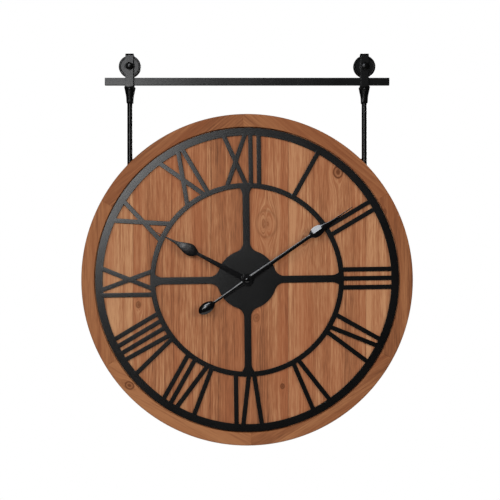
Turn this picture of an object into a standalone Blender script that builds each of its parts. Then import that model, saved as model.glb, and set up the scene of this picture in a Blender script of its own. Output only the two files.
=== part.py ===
"""Round plank wall clock that hangs from a steel rail by two roller hangers.

Metres, +Z up, the front faces -Y. The origin is the centre of the wall bar's back face.
"""

import math

import bmesh
import bpy
from mathutils import Vector
from mathutils.geometry import delaunay_2d_cdt

MM = 0.001
GAP = 0.3 * MM

# Rail and wall bar
RAIL_LENGTH = 529 * MM
RAIL_HEIGHT = 14 * MM
RAIL_DEPTH = 8 * MM
RAIL_Y = -18 * MM
RAIL_Z = -2 * MM
WALL_BAR_LENGTH = 340 * MM
WALL_BAR_HEIGHT = 12 * MM
WALL_BAR_THICKNESS = 3 * MM
KEYHOLE_X = 120 * MM
KEYHOLE_HEAD_RADIUS = 3.5 * MM
KEYHOLE_NECK_RADIUS = 1.9 * MM
KEYHOLE_NECK_LENGTH = 11 * MM
STANDOFF_X = 150 * MM
STANDOFF_RADIUS = 4.5 * MM

# Roller hangers
HANGER_X = 218 * MM
ROLLER_RADIUS = 20.4 * MM
ROLLER_WIDTH = 13 * MM
ROLLER_Z = RAIL_Z + RAIL_HEIGHT / 2 + GAP + ROLLER_RADIUS
STRAP_THICKNESS = 2.5 * MM
STRAP_WIDTH = 15 * MM
STRAP_INSIDE = 19 * MM
STRAP_CORNER_RADIUS = 4 * MM
STRAP_TOP_Z = ROLLER_Z + 23.7 * MM
STRAP_BEND_Z = RAIL_Z - 10 * MM
AXLE_RADIUS = 4 * MM
BOLT_FLATS = 13 * MM
BOLT_HEAD_HEIGHT = 5.3 * MM
AXLE_NUT_HEIGHT = 4 * MM
WASHER_RADIUS = 8 * MM
ROD_RADIUS = 5 * MM
YOKE_Z = RAIL_Z - 14.5 * MM
YOKE_EYE_RADIUS = 6.5 * MM
YOKE_PIN_RADIUS = 2.5 * MM
FOOT_EYE_RADIUS = 7 * MM
FOOT_EYE_THICKNESS = 5 * MM
FOOT_SCREW_RADIUS = 3 * MM

# Width of the strap's flared legs at each distance below the bend, in mm
YOKE_PIN_HEAD_RADIUS = 4 * MM
YOKE_PIN_HEAD_HEIGHT = 1.5 * MM
ROLLER_SHOULDER = 1.2 * MM
ROLLER_DISH = 0.8 * MM
ROLLER_RIM_BAND = 3 * MM
FOOT_SCREW_HEAD_RADIUS = 5 * MM
FOOT_SCREW_HEAD_HEIGHT = 2.5 * MM
FOOT_SCREW_DEPTH = 10 * MM
STRAP_SKIRT = [(-1.5, 15), (0, 19.4), (8, 17), (20, 12.6), (31, 11.4)]

# Round clock head
HEAD_Z = RAIL_Z - 367.8 * MM
HEAD_BACK_Y = -26.5 * MM
DISC_RADIUS = 305 * MM
RIM_INNER_RADIUS = 281 * MM
RIM_DEPTH = 24 * MM
RIM_SEGMENTS = 6
RIM_FIRST_JOINT = -1.5
PLANK_THICKNESS = 18 * MM
PLANK_EDGES = [-210 * MM, -67 * MM, 76 * MM, 219 * MM]
SHAFT_HOLE_RADIUS = 4.6 * MM
FOOT_Z = HEAD_Z + 194 * MM
BRACKET_THICKNESS = 3 * MM
BRACKET_INNER = 32 * MM
BRACKET_OUTER = 11 * MM
BRACKET_DROP = 22 * MM
BRACKET_SHOULDER = 9 * MM
BRACKET_TOP_Z = HEAD_Z + 224 * MM
BRACKET_SCREW_INSET = 15 * MM
BRACKET_SCREW_RISE = 17 * MM
BRACKET_SCREW_RADIUS = 1.8 * MM
BRACKET_SCREW_HOLE_RADIUS = 2.3 * MM
BRACKET_SCREW_HEAD_RADIUS = 4 * MM
BRACKET_SCREW_HEAD_HEIGHT = 1.6 * MM
BRACKET_SCREW_DEPTH = 12 * MM
RIM_FACETS = 12

# Cut steel dial
DIAL_THICKNESS = 2 * MM
DIAL_TURN = -0.8
DIAL_RADIUS = 279.5 * MM
CHAPTER_INNER_RADIUS = 265.5 * MM
RING_OUTER_RADIUS = 178.3 * MM
RING_INNER_RADIUS = 169 * MM
HUB_RADIUS = 55 * MM
SPOKE_WIDTH = 12.9 * MM
SPOKE_FILLET = 18 * MM
FLARE_HALF_WIDTH = 11.8 * MM
FLARE_LENGTH = 14 * MM
STROKE_WIDTH = 8.2 * MM
FLARE_STEP = 1.2 * MM
FLARE_OVERLAP = 4 * MM
SPOKE_OVERLAP = 3 * MM

# Each stroke of a numeral: its sideways place at the inner ring and at the outer ring, in mm
NUMERALS = {
    12: [(-0.9, -39.5), (-32.2, -0.9), (9.7, 9.7), (24.8, 24.8)],
    1: [(0, 0)],
    2: [(-8.1, -8.1), (8.1, 8.1)],
    3: [(-16.5, -16.5), (0, 0), (16.5, 16.5)],
    4: [(-23.7, -23.7), (0.7, -10.7), (12.1, 23.4)],
    5: [(-5.8, -17.3), (5.8, 17.3)],
    6: [(-11, -23.6), (-0.6, 10.3), (23, 23)],
    7: [(-23.5, -36.3), (-13.4, -1.7), (11.8, 11.8), (27.1, 27.1)],
    8: [(-23.7, -44.7), (-14.6, -12), (1.8, 1.8), (16.2, 16.2), (30.5, 30.5)],
    9: [(-25, -25), (16.6, -14.6), (-12.4, 23.7)],
    10: [(18.6, -23.6), (-13.4, 14.5)],
    11: [(11, -28), (-22.4, 11), (20.4, 20.4)],
}

# Hands: half width of the blade at each distance from the shaft, in mm
HAND_THICKNESS = 1.2 * MM
HOUR_HAND_TURN = 297.7
HOUR_HAND_BACK_Y = -52.4 * MM
HOUR_BOSS_RADIUS = 11.5 * MM
HOUR_BLADE = [
    (6, 5.4), (60, 4.2), (103, 3.1), (108, 6.6), (113, 10), (119, 11.3),
    (126, 10), (136, 6.4), (150, 2.6), (165, 1.5), (188, 0.5),
]
MINUTE_HAND_TURN = 55.3
MINUTE_HAND_BACK_Y = -55.6 * MM
MINUTE_BOSS_RADIUS = 9.5 * MM
MINUTE_BLADE = [
    (5, 4.6), (40, 3.9), (140, 3.2), (144, 5.6), (150, 9), (156, 10),
    (163, 8.8), (174, 5), (186, 2.4), (205, 1.3), (235, 0.5),
]
MINUTE_TAIL = [
    (5, 4.2), (30, 2.7), (74, 2.4), (78, 6), (84, 9.2), (91, 10.2), (98, 9), (104, 5.6), (107, 2),
]

# Quartz movement, whose depths run back from the front of its case
CAP_NUT_RADIUS = 5.2 * MM
CAP_NUT_HEIGHT = 4.2 * MM

CASE_HALF = 28 * MM
CASE_CORNER_RADIUS = 2 * MM
CASE_FLOOR_DEPTH = 0.6
BUSHING_BORE_DEPTH = 1.6
COVER_FRONT_DEPTH = 15.6
COVER_BACK_DEPTH = 16.8
KNOB_HOLE_RADIUS = 2 * MM
KNOB_RADIUS = 5.5 * MM
KNOB_DEPTHS = (17.3, 19.8)
KNOB_SHAFT_RADIUS = 1.6 * MM
KNOB_SHAFT_DEPTHS = (3.9, 18)
GASKET_RADIUS = 14 * MM
BUSHING_WASHER_RADIUS = 8 * MM
BUSHING_WASHER_THICKNESS = 0.8 * MM
BUSHING_NUT_FLATS = 12 * MM
BUSHING_NUT_HEIGHT = 2.4 * MM
CASE_FRONT_Y = -25 * MM
CASE_DEPTH = 17 * MM
CASE_WALL = 1.2 * MM
BAY_WALL_LOW = -11.8 * MM
BAY_WALL_HIGH = -10.6 * MM
BUSHING_RADIUS = 3.9 * MM
BUSHING_BORE = 2.7 * MM
BUSHING_FRONT_Y = -51 * MM
HOUR_TUBE_RADIUS = 2.5 * MM
HOUR_TUBE_BORE = 1.85 * MM
HOUR_TUBE_FRONT_Y = -53.9 * MM
ARBOR_RADIUS = 1.6 * MM
ARBOR_FRONT_Y = -59.5 * MM
THIN_ARBOR_RADIUS = 0.5 * MM
THIN_ARBOR_DEPTHS = (1.5, 15.3)
CENTRE_ARBOR_BACK_DEPTH = 15.2
HOUR_TUBE_BACK_DEPTH = 2.3
HOUR_TUBE_BORE_DEPTH = 5
MOTION_POST_RADIUS = 0.8 * MM
MOTION_POST_DEPTH = 4.8
MOTION_HUB_RADIUS = 1.35 * MM
MOTION_HUB_DEPTHS = (2.3, 3.9)
MOTION_BORE_RADIUS = 0.95 * MM
MOTION_BORE_DEPTHS = (1, 6)
MAGNET_RADIUS = 2.4 * MM
MAGNET_DEPTHS = (11.7, 13.2)
BATTERY_RADIUS = 7.1 * MM
BATTERY_LENGTH = 50.5 * MM
BATTERY_X_HALF = BATTERY_LENGTH / 2
BATTERY_Z = HEAD_Z - 19.3 * MM
BATTERY_DEPTH = 9.2
CONTACT_LOW = 3
CONTACT_HIGH = 15.5
CONTACT_HALF_WIDTH = 5.5 * MM
CONTACT_THICKNESS = 0.5 * MM
CONTACT_BOSS_RADIUS = 2.2 * MM
BATTERY_NUB_RADIUS = 2.7 * MM
BATTERY_NUB_HEIGHT = 1.2 * MM
BATTERY_EDGE = 0.6 * MM
COIL_Z = HEAD_Z + 22.3 * MM
COIL_DEPTH = 12.4
COIL_SPAN = (-24.8 * MM, -5.6 * MM)
COIL_RADIUS = 2.6 * MM
COIL_FLANGE_RADIUS = 2.95 * MM
COIL_FLANGE_THICKNESS = 0.8 * MM
COIL_BORE_RADIUS = 1.4 * MM
STATOR_DEPTHS = (11.9, 12.9)
STATOR_RING_RADIUS = 4.3 * MM
STATOR_BORE_RADIUS = 2.9 * MM
STATOR_LEFT = -26.2 * MM
STATOR_CORE_HALF = 1 * MM
STATOR_LIMB = (1 * MM, 3 * MM)
STATOR_YOKE = (-5 * MM, -3.2 * MM)
BOARD_X = (16.9 * MM, 26.2 * MM)
BOARD_Z = (HEAD_Z - 9.5 * MM, HEAD_Z + 25.5 * MM)
BOARD_DEPTHS = (3, 4)
CHIP_SPOT = (21.5 * MM, HEAD_Z + 4 * MM)
CHIP_RADIUS = 3.2 * MM
CHIP_DEPTHS = (3.5, 5.2)

# Wheels: teeth, module in mm, front and back depth in mm
CANNON_PINION = (10, 0.5, 3.4, 4.4)
HOUR_WHEEL = (32, 0.5, 1.8, 2.8)
MINUTE_PINION = (8, 0.5, 1.8, 2.8)
MINUTE_WHEEL = (30, 0.5, 3.4, 4.4)
KNOB_PINION = (10, 0.5, 3.4, 4.4)
CENTRE_WHEEL = (48, 0.4, 5.4, 6.4)
THIRD_PINION = (6, 0.4, 5.1, 6.7)
THIRD_WHEEL = (45, 0.3, 7.3, 8.1)
FOURTH_PINION = (6, 0.3, 7.0, 8.4)
FOURTH_WHEEL = (40, 0.3, 8.9, 9.6)
FIFTH_PINION = (8, 0.3, 8.7, 9.8)
FIFTH_WHEEL = (36, 0.25, 10.5, 11.2)
ROTOR_PINION = (6, 0.25, 10.3, 11.4)
THIRD_ANGLE = 33
FOURTH_ANGLE = 100
FIFTH_ANGLE = 160
ROTOR_ANGLE = 190
MINUTE_WHEEL_ANGLE = 143
KNOB_ANGLE = 127

PARTS = "rail_hung_wall_clock"
CUTTERS = "cutters"


def clear_scene():
    for old in list(bpy.data.objects):
        bpy.data.objects.remove(old, do_unlink=True)


def make_collections():
    for name in (PARTS, CUTTERS):
        bpy.context.scene.collection.children.link(bpy.data.collections.new(name))


def finish_material(name, colour, roughness, metallic=0.0):
    material = bpy.data.materials.new(name)
    material.use_nodes = True
    shader = material.node_tree.nodes["Principled BSDF"]
    shader.inputs["Base Color"].default_value = (*colour, 1)
    shader.inputs["Roughness"].default_value = roughness
    shader.inputs["Metallic"].default_value = metallic
    return material


def make_materials():
    return {
        "black_steel": finish_material("black_steel", (0.03, 0.031, 0.032), 0.5, 0.4),
        "dial_black": finish_material("dial_black", (0.025, 0.026, 0.027), 0.5, 0.3),
        "hand_black": finish_material("hand_black", (0.008, 0.008, 0.009), 0.25, 0.3),
        "plank_fir": finish_material("plank_fir", (0.40, 0.19, 0.09), 0.6),
        "rim_fir": finish_material("rim_fir", (0.36, 0.17, 0.08), 0.6),
        "zinc_steel": finish_material("zinc_steel", (0.55, 0.56, 0.58), 0.35, 1.0),
        "brass": finish_material("brass", (0.70, 0.50, 0.20), 0.3, 1.0),
        "copper_wire": finish_material("copper_wire", (0.62, 0.27, 0.13), 0.35, 1.0),
        "black_plastic": finish_material("black_plastic", (0.02, 0.02, 0.022), 0.45),
        "white_plastic": finish_material("white_plastic", (0.80, 0.79, 0.75), 0.4),
        "rubber": finish_material("rubber", (0.03, 0.03, 0.03), 0.8),
        "board_green": finish_material("board_green", (0.05, 0.22, 0.09), 0.45),
        "battery_wrap": finish_material("battery_wrap", (0.12, 0.13, 0.15), 0.35),
    }


def add_object(name, mesh, finish, location=(0, 0, 0)):
    obj = bpy.data.objects.new(name, mesh)
    obj.location = location
    obj.data.materials.append(finish)
    bpy.data.collections[PARTS].objects.link(obj)
    return obj


def boolean(obj, other, operation):
    """Adds a live Boolean and moves the other object to the cutters."""
    bpy.data.collections[PARTS].objects.unlink(other)
    bpy.data.collections[CUTTERS].objects.link(other)
    other.hide_render = True
    other.display_type = "WIRE"
    modifier = obj.modifiers.new(other.name, "BOOLEAN")
    modifier.object = other
    modifier.operation = operation
    modifier.solver = "EXACT"
    return obj


def union(obj, *others):
    for other in others:
        boolean(obj, other, "UNION")
    return obj


def cut(obj, *others):
    for other in others:
        boolean(obj, other, "DIFFERENCE")
    return obj


def box(name, low, high, finish):
    form = bmesh.new()
    bmesh.ops.create_cube(form, size=1)
    size = [b - a for a, b in zip(low, high)]
    bmesh.ops.scale(form, verts=form.verts, vec=size)
    mesh = bpy.data.meshes.new(name)
    form.to_mesh(mesh)
    form.free()
    return add_object(name, mesh, finish, [(a + b) / 2 for a, b in zip(low, high)])


def cylinder(name, radius, start, end, finish, sides=16):
    """A closed cylinder from start to end, two points on one world axis."""
    start = Vector(start)
    axis = Vector(end) - start
    form = bmesh.new()
    bmesh.ops.create_cone(
        form, cap_ends=True, segments=sides, radius1=radius, radius2=radius, depth=axis.length
    )
    turn = Vector((0, 0, 1)).rotation_difference(axis).to_matrix()
    bmesh.ops.rotate(form, verts=form.verts, matrix=turn)
    mesh = bpy.data.meshes.new(name)
    form.to_mesh(mesh)
    form.free()
    mesh.shade_smooth()
    mesh.set_sharp_from_angle(angle=math.radians(40))
    return add_object(name, mesh, finish, start + axis / 2)


def along_y(name, radius, front, back, centre, finish, sides=16):
    """A cylinder that runs from front to back at centre, its (x, z)."""
    x, z = centre
    return cylinder(name, radius, (x, front, z), (x, back, z), finish, sides)


def circle(radius, sides=48, centre=(0, 0)):
    steps = [2 * math.pi * i / sides for i in range(sides)]
    return [(centre[0] + radius * math.cos(a), centre[1] + radius * math.sin(a)) for a in steps]


def arc(radius, start, end, steps, centre=(0, 0)):
    """Points on a circle, by degrees clockwise from the top as a clock face counts them."""
    turns = [math.radians(start + (end - start) * i / steps) for i in range(steps + 1)]
    return [(centre[0] + radius * math.sin(a), centre[1] + radius * math.cos(a)) for a in turns]


def rectangle(x_low, x_high, z_low, z_high):
    return [(x_low, z_low), (x_high, z_low), (x_high, z_high), (x_low, z_high)]


def turned(points, degrees):
    """Points turned clockwise as seen from the front."""
    c, s = math.cos(math.radians(degrees)), math.sin(math.radians(degrees))
    return [(x * c + z * s, z * c - x * s) for x, z in points]


def anticlockwise(outline):
    """The outline in the order that a filled face needs."""
    doubled_area = sum(a[0] * b[1] - b[0] * a[1] for a, b in zip(outline, outline[1:] + outline[:1]))
    return outline if doubled_area > 0 else outline[::-1]


def flat_plate(name, outlines, front, back, finish, holes=(), centre=(0, 0)):
    """One plate of every outline together, without the holes. Outlines may cross each other."""
    points = []
    loops = []
    for outline in map(anticlockwise, (*outlines, *holes)):
        loops.append(list(range(len(points), len(points) + len(outline))))
        points.extend(Vector(point) for point in outline)
    filled = delaunay_2d_cdt(points, [], loops, 1, 2e-6)
    solid = len(outlines)
    kept = [face for face, of in zip(filled[2], filled[5]) if of and max(of) < solid]
    mesh = bpy.data.meshes.new(name)
    mesh.from_pydata([(x, 0, z) for x, z in filled[0]], [], kept)
    form = bmesh.new()
    form.from_mesh(mesh)
    loose = [vert for vert in form.verts if not vert.link_faces]
    bmesh.ops.delete(form, geom=loose, context="VERTS")
    form.to_mesh(mesh)
    form.free()
    obj = add_object(name, mesh, finish, (centre[0], front, centre[1]))
    solidify = obj.modifiers.new("thickness", "SOLIDIFY")
    solidify.thickness = back - front
    solidify.offset = -1
    return obj


def make_rail(materials):
    half = RAIL_LENGTH / 2
    box(
        "rail_bar",
        (-half, RAIL_Y - RAIL_DEPTH / 2, RAIL_Z - RAIL_HEIGHT / 2),
        (half, RAIL_Y + RAIL_DEPTH / 2, RAIL_Z + RAIL_HEIGHT / 2),
        materials["black_steel"],
    )


def keyhole(x):
    """A round head hole with a neck that runs sideways to the right, as two crossing outlines."""
    neck = rectangle(x, x + KEYHOLE_NECK_LENGTH, -KEYHOLE_NECK_RADIUS, KEYHOLE_NECK_RADIUS)
    end = circle(KEYHOLE_NECK_RADIUS, 12, (x + KEYHOLE_NECK_LENGTH, 0))
    return [circle(KEYHOLE_HEAD_RADIUS, 20, (x, 0)), neck, end]


def make_wall_bar(materials):
    half = WALL_BAR_LENGTH / 2
    high = WALL_BAR_HEIGHT / 2
    flat_plate(
        "wall_bar",
        [rectangle(-half, half, -high, high)],
        -WALL_BAR_THICKNESS,
        0,
        materials["black_steel"],
        holes=[*keyhole(-KEYHOLE_X), *keyhole(KEYHOLE_X)],
    )


def make_standoffs(materials):
    for side, name in ((-1, "left"), (1, "right")):
        along_y(
            f"rail_standoff_{name}",
            STANDOFF_RADIUS,
            RAIL_Y + RAIL_DEPTH / 2 + GAP,
            -WALL_BAR_THICKNESS - GAP,
            (side * STANDOFF_X, 0),
            materials["black_steel"],
            20,
        )


def strap_stations():
    """Half width, y from the rail and z along the strap, from the front tip round to the back tip."""
    reach = (STRAP_INSIDE + STRAP_THICKNESS) / 2
    tip = ROD_RADIUS + 2 * GAP + STRAP_THICKNESS / 2
    top = STRAP_TOP_Z - STRAP_THICKNESS / 2
    radius = STRAP_CORNER_RADIUS
    length = STRAP_SKIRT[-1][0]
    front = []
    for drop, width in reversed(STRAP_SKIRT):
        share = max(0, drop) / length
        front.append((width * MM / 2, -reach + (reach - tip) * share, STRAP_BEND_Z - drop * MM))
    for step in range(5):
        turn = math.radians(90 * step / 4)
        y = -reach + radius * (1 - math.cos(turn))
        front.append((STRAP_WIDTH / 2, y, top - radius * (1 - math.sin(turn))))
    return front + [(half, -y, z) for half, y, z in reversed(front)]


def make_strap(name, x, materials):
    stations = strap_stations()
    points = [(side * half, y, z) for half, y, z in stations for side in (-1, 1)]
    faces = [(2 * i, 2 * i + 1, 2 * i + 3, 2 * i + 2) for i in range(len(stations) - 1)]
    mesh = bpy.data.meshes.new(name)
    mesh.from_pydata(points, [], faces)
    strap = add_object(name, mesh, materials["black_steel"], (x, RAIL_Y, 0))
    solidify = strap.modifiers.new("thickness", "SOLIDIFY")
    solidify.thickness = STRAP_THICKNESS
    solidify.offset = 0
    solidify.use_even_offset = True
    reach = STRAP_INSIDE
    for hole, radius, z in (
        ("axle_hole", AXLE_RADIUS, ROLLER_Z),
        ("pin_hole", YOKE_PIN_RADIUS, YOKE_Z),
    ):
        front, back = RAIL_Y - reach, RAIL_Y + reach
        steel = materials["black_steel"]
        cut(strap, along_y(f"{name}_{hole}", radius + GAP, front, back, (x, z), steel))


def make_roller(name, x, materials):
    """A turned wheel with rounded shoulders, spun about the axle, which runs along Y."""
    half = ROLLER_WIDTH / 2
    bore = AXLE_RADIUS + GAP
    shoulder = ROLLER_SHOULDER
    dish = ROLLER_DISH
    rim = ROLLER_RADIUS - ROLLER_RIM_BAND
    hub = WASHER_RADIUS + 2 * GAP
    side = [(bore, half), (hub, half), (hub + dish, half - dish), (rim - dish, half - dish)]
    side += [(rim, half), (ROLLER_RADIUS - shoulder, half), (ROLLER_RADIUS, half - shoulder)]
    profile = side + [(r, -z) for r, z in reversed(side)]
    mesh = bpy.data.meshes.new(name)
    count = len(profile)
    edges = [(i, (i + 1) % count) for i in range(count)]
    mesh.from_pydata([(r, 0, z) for r, z in profile], edges, [])
    roller = add_object(name, mesh, materials["black_steel"], (x, RAIL_Y, ROLLER_Z))
    roller.rotation_euler = (math.radians(-90), 0, 0)
    screw = roller.modifiers.new("turn", "SCREW")
    screw.steps = 24
    screw.render_steps = 24
    screw.use_merge_vertices = True
    screw.merge_threshold = 0.00001


def hexagon(flats):
    return circle(flats / math.sqrt(3), 6)


def make_axle(side_name, x, materials):
    steel = materials["black_steel"]
    reach = STRAP_INSIDE / 2 + STRAP_THICKNESS + GAP
    head_back = RAIL_Y - reach
    nut_front = RAIL_Y + reach
    nut_back = nut_front + AXLE_NUT_HEIGHT
    centre = (x, ROLLER_Z)
    name = f"axle_bolt_{side_name}"
    head_front = head_back - BOLT_HEAD_HEIGHT
    head = flat_plate(name, [hexagon(BOLT_FLATS)], head_front, head_back, steel, centre=centre)
    overlap = BOLT_HEAD_HEIGHT / 2
    shank_back = nut_back + GAP
    union(head, along_y(f"{name}_shank", AXLE_RADIUS, head_back - overlap, shank_back, centre, steel))
    hole = circle(AXLE_RADIUS + GAP, 16)
    nut = f"axle_nut_{side_name}"
    flat_plate(nut, [hexagon(BOLT_FLATS)], nut_front, nut_back, steel, [hole], centre)
    ring = circle(WASHER_RADIUS, 20)
    inner, outer = ROLLER_WIDTH / 2 + GAP, STRAP_INSIDE / 2 - GAP
    for place, front in (("front", RAIL_Y - outer), ("back", RAIL_Y + inner)):
        washer = f"roller_washer_{side_name}_{place}"
        flat_plate(washer, [ring], front, front + outer - inner, steel, [hole], centre)


def make_yoke_pin(side_name, x, materials):
    """A rivet through both legs of the strap and the rod's upper eye."""
    steel = materials["black_steel"]
    name = f"yoke_pin_{side_name}"
    reach = STRAP_INSIDE / 2 + STRAP_THICKNESS
    head = YOKE_PIN_HEAD_HEIGHT
    front, back = RAIL_Y - reach, RAIL_Y + reach
    centre = (x, YOKE_Z)
    pin = along_y(name, YOKE_PIN_RADIUS, front - head / 2, back + head / 2, centre, steel)
    for end, place in ((front, "front"), (back + head, "back")):
        union(pin, along_y(f"{name}_{place}", YOKE_PIN_HEAD_RADIUS, end - head, end, centre, steel))


def make_hanger_rod(side_name, x, materials):
    """A round rod with a drilled eye at each end. The lower eye is forged flat."""
    steel = materials["black_steel"]
    name = f"hanger_rod_{side_name}"
    eye_half = ROD_RADIUS
    foot_half = FOOT_EYE_THICKNESS / 2
    rod_top = YOKE_Z - YOKE_EYE_RADIUS / 2
    rod_foot = FOOT_Z + FOOT_EYE_RADIUS + 4 * MM
    rod = along_y(name, YOKE_EYE_RADIUS, RAIL_Y - eye_half, RAIL_Y + eye_half, (x, YOKE_Z), steel)
    bar = cylinder(f"{name}_bar", ROD_RADIUS - 0.1 * MM, (x, RAIL_Y, rod_foot), (x, RAIL_Y, rod_top), steel)
    front, back = RAIL_Y - foot_half, RAIL_Y + foot_half
    foot = along_y(f"{name}_foot", FOOT_EYE_RADIUS, front, back, (x, FOOT_Z), steel)
    neck_half = ROD_RADIUS - 0.6 * MM
    low = (x - neck_half, front + 0.1 * MM, FOOT_Z)
    high = (x + neck_half, back - 0.1 * MM, rod_foot + 3 * MM)
    neck = box(f"{name}_neck", low, high, steel)
    union(rod, bar, foot, neck)
    reach = 2 * ROD_RADIUS
    front, back = RAIL_Y - reach, RAIL_Y + reach
    yoke_hole = along_y(f"{name}_yoke_hole", YOKE_PIN_RADIUS + GAP, front, back, (x, YOKE_Z), steel)
    foot_hole = along_y(f"{name}_foot_hole", FOOT_SCREW_RADIUS + GAP, front, back, (x, FOOT_Z), steel)
    cut(rod, yoke_hole, foot_hole)


def make_hangers(materials):
    for side, side_name in ((-1, "left"), (1, "right")):
        x = side * HANGER_X
        make_strap(f"hanger_strap_{side_name}", x, materials)
        make_roller(f"roller_{side_name}", x, materials)
        make_axle(side_name, x, materials)
        make_yoke_pin(side_name, x, materials)
        make_hanger_rod(side_name, x, materials)


def bracket_screw_spot(side):
    return (side * (HANGER_X - BRACKET_SCREW_INSET), FOOT_Z + BRACKET_SCREW_RISE)


def make_brackets(materials):
    """An L plate on the back of the head carries each rod's foot on a shoulder screw."""
    steel = materials["black_steel"]
    back = HEAD_BACK_Y + GAP + BRACKET_THICKNESS
    for side, side_name in ((-1, "left"), (1, "right")):
        x = side * HANGER_X
        inner = side * (HANGER_X - BRACKET_INNER)
        beside = side * (HANGER_X - ROD_RADIUS - GAP)
        outer = side * (HANGER_X + BRACKET_OUTER)
        low, shoulder = FOOT_Z - BRACKET_DROP, FOOT_Z + BRACKET_SHOULDER
        upright = rectangle(*sorted((inner, beside)), low, BRACKET_TOP_Z)
        foot = rectangle(*sorted((inner, outer)), low, shoulder)
        screw_spot = bracket_screw_spot(side)
        foot_hole = circle(FOOT_SCREW_RADIUS + GAP, 20, (x, FOOT_Z))
        holes = [foot_hole, circle(BRACKET_SCREW_HOLE_RADIUS, 16, screw_spot)]
        name = f"rod_bracket_{side_name}"
        flat_plate(name, [upright, foot], HEAD_BACK_Y + GAP, back, steel, holes)
        make_foot_screw(side_name, x, steel)
        make_bracket_screw(side_name, screw_spot, back, materials["zinc_steel"])


def make_foot_screw(side_name, x, steel):
    """Shoulder screw from the back, through the rod's foot and the bracket, into the rim."""
    name = f"foot_screw_{side_name}"
    foot_back = RAIL_Y + FOOT_EYE_THICKNESS / 2
    head_front = foot_back + GAP
    head_back = head_front + FOOT_SCREW_HEAD_HEIGHT
    centre = (x, FOOT_Z)
    screw = along_y(name, FOOT_SCREW_HEAD_RADIUS, head_front, head_back, centre, steel)
    tip = HEAD_BACK_Y - FOOT_SCREW_DEPTH
    shank = along_y(f"{name}_shank", FOOT_SCREW_RADIUS, tip, head_front + 1 * MM, centre, steel)
    union(screw, shank)


def make_bracket_screw(side_name, spot, plate_back, finish):
    name = f"bracket_screw_{side_name}"
    head_front = plate_back + GAP
    head_back = head_front + BRACKET_SCREW_HEAD_HEIGHT
    screw = along_y(name, BRACKET_SCREW_HEAD_RADIUS, head_front, head_back, spot, finish, 16)
    tip = HEAD_BACK_Y - BRACKET_SCREW_DEPTH
    buried = (head_front + head_back) / 2
    union(screw, along_y(f"{name}_shank", BRACKET_SCREW_RADIUS, tip, buried, spot, finish, 12))


def screw_holes_in_head():
    """Name, radius, (x, z) and depth of the blind holes for the bracket screws and foot screws."""
    holes = []
    for side, side_name in ((-1, "left"), (1, "right")):
        foot = (side * HANGER_X, FOOT_Z)
        spot = bracket_screw_spot(side)
        holes.append((f"{side_name}_foot", FOOT_SCREW_RADIUS, foot, FOOT_SCREW_DEPTH))
        holes.append((f"{side_name}_bracket", BRACKET_SCREW_RADIUS, spot, BRACKET_SCREW_DEPTH))
    return holes


def drill_head(piece, spots, finish):
    for label, radius, centre, depth in spots:
        front = HEAD_BACK_Y - depth - 2 * GAP
        drill = f"{piece.name}_{label}"
        cut(piece, along_y(drill, radius + GAP, front, HEAD_BACK_Y + 2 * MM, centre, finish, 16))


def make_rim(materials):
    """Six arched segments, mitred end to end."""
    pitch = 360 / RIM_SEGMENTS
    gap_turn = math.degrees(GAP / 2 / RIM_INNER_RADIUS)
    for i in range(RIM_SEGMENTS):
        start = RIM_FIRST_JOINT + pitch * i + gap_turn
        end = start + pitch - 2 * gap_turn
        outer = arc(DISC_RADIUS, start, end, RIM_FACETS)
        inner = arc(RIM_INNER_RADIUS, end, start, RIM_FACETS)
        segment = flat_plate(
            f"rim_segment_{i + 1}",
            [outer + inner],
            HEAD_BACK_Y - RIM_DEPTH,
            HEAD_BACK_Y,
            materials["rim_fir"],
            centre=(0, HEAD_Z),
        )
        spots = [spot for spot in screw_holes_in_head() if in_turn(spot[2], start, end)]
        drill_head(segment, spots, materials["rim_fir"])


def in_turn(spot, start, end):
    """Whether a spot lies between two clock face angles."""
    turn = math.degrees(math.atan2(spot[0], spot[1] - HEAD_Z))
    return start < turn < end or start < turn + 360 < end


def plank_outline(left, right, radius):
    """The strip of a disc between two upright lines."""
    first, last = math.degrees(math.asin(left / radius)), math.degrees(math.asin(right / radius))
    steps = max(4, round((last - first) / 4))
    top = arc(radius, first, last, steps)
    foot = [(x, -z) for x, z in reversed(top)]
    outline = top + foot
    return [point for i, point in enumerate(outline) if math.dist(point, outline[i - 1]) > GAP]


def make_planks(materials):
    radius = RIM_INNER_RADIUS - 2 * GAP
    edges = [-radius, *PLANK_EDGES, radius]
    for i, (left, right) in enumerate(zip(edges, edges[1:])):
        low = left + (GAP / 2 if i else 0)
        high = right - (GAP / 2 if right < radius else 0)
        centred = low < 0 < high
        flat_plate(
            f"plank_{i + 1}",
            [plank_outline(low, high, radius)],
            HEAD_BACK_Y - PLANK_THICKNESS,
            HEAD_BACK_Y,
            materials["plank_fir"],
            [circle(SHAFT_HOLE_RADIUS, 16)] if centred else [],
            (0, HEAD_Z),
        )


def stroke(start, end, width):
    """A straight bar of one width between two points."""
    along = Vector(end) - Vector(start)
    across = Vector((-along.y, along.x)).normalized() * width / 2
    corners = (Vector(start) + across, Vector(start) - across, Vector(end) - across, Vector(end) + across)
    return [tuple(corner) for corner in corners]


def numeral_strokes(hour):
    """A numeral's bars, which run into the two rings that carry them."""
    inner = (RING_OUTER_RADIUS + RING_INNER_RADIUS) / 2
    outer = (DIAL_RADIUS + CHAPTER_INNER_RADIUS) / 2
    reach = CHAPTER_INNER_RADIUS - RING_OUTER_RADIUS
    bars = []
    for low, high in NUMERALS[hour]:
        lean = (high - low) * MM / reach
        start = (low * MM - lean * (RING_OUTER_RADIUS - inner), inner)
        end = (high * MM + lean * (outer - CHAPTER_INNER_RADIUS), outer)
        bars.append(turned(stroke(start, end, STROKE_WIDTH), 30 * hour + DIAL_TURN))
    return bars


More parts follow.
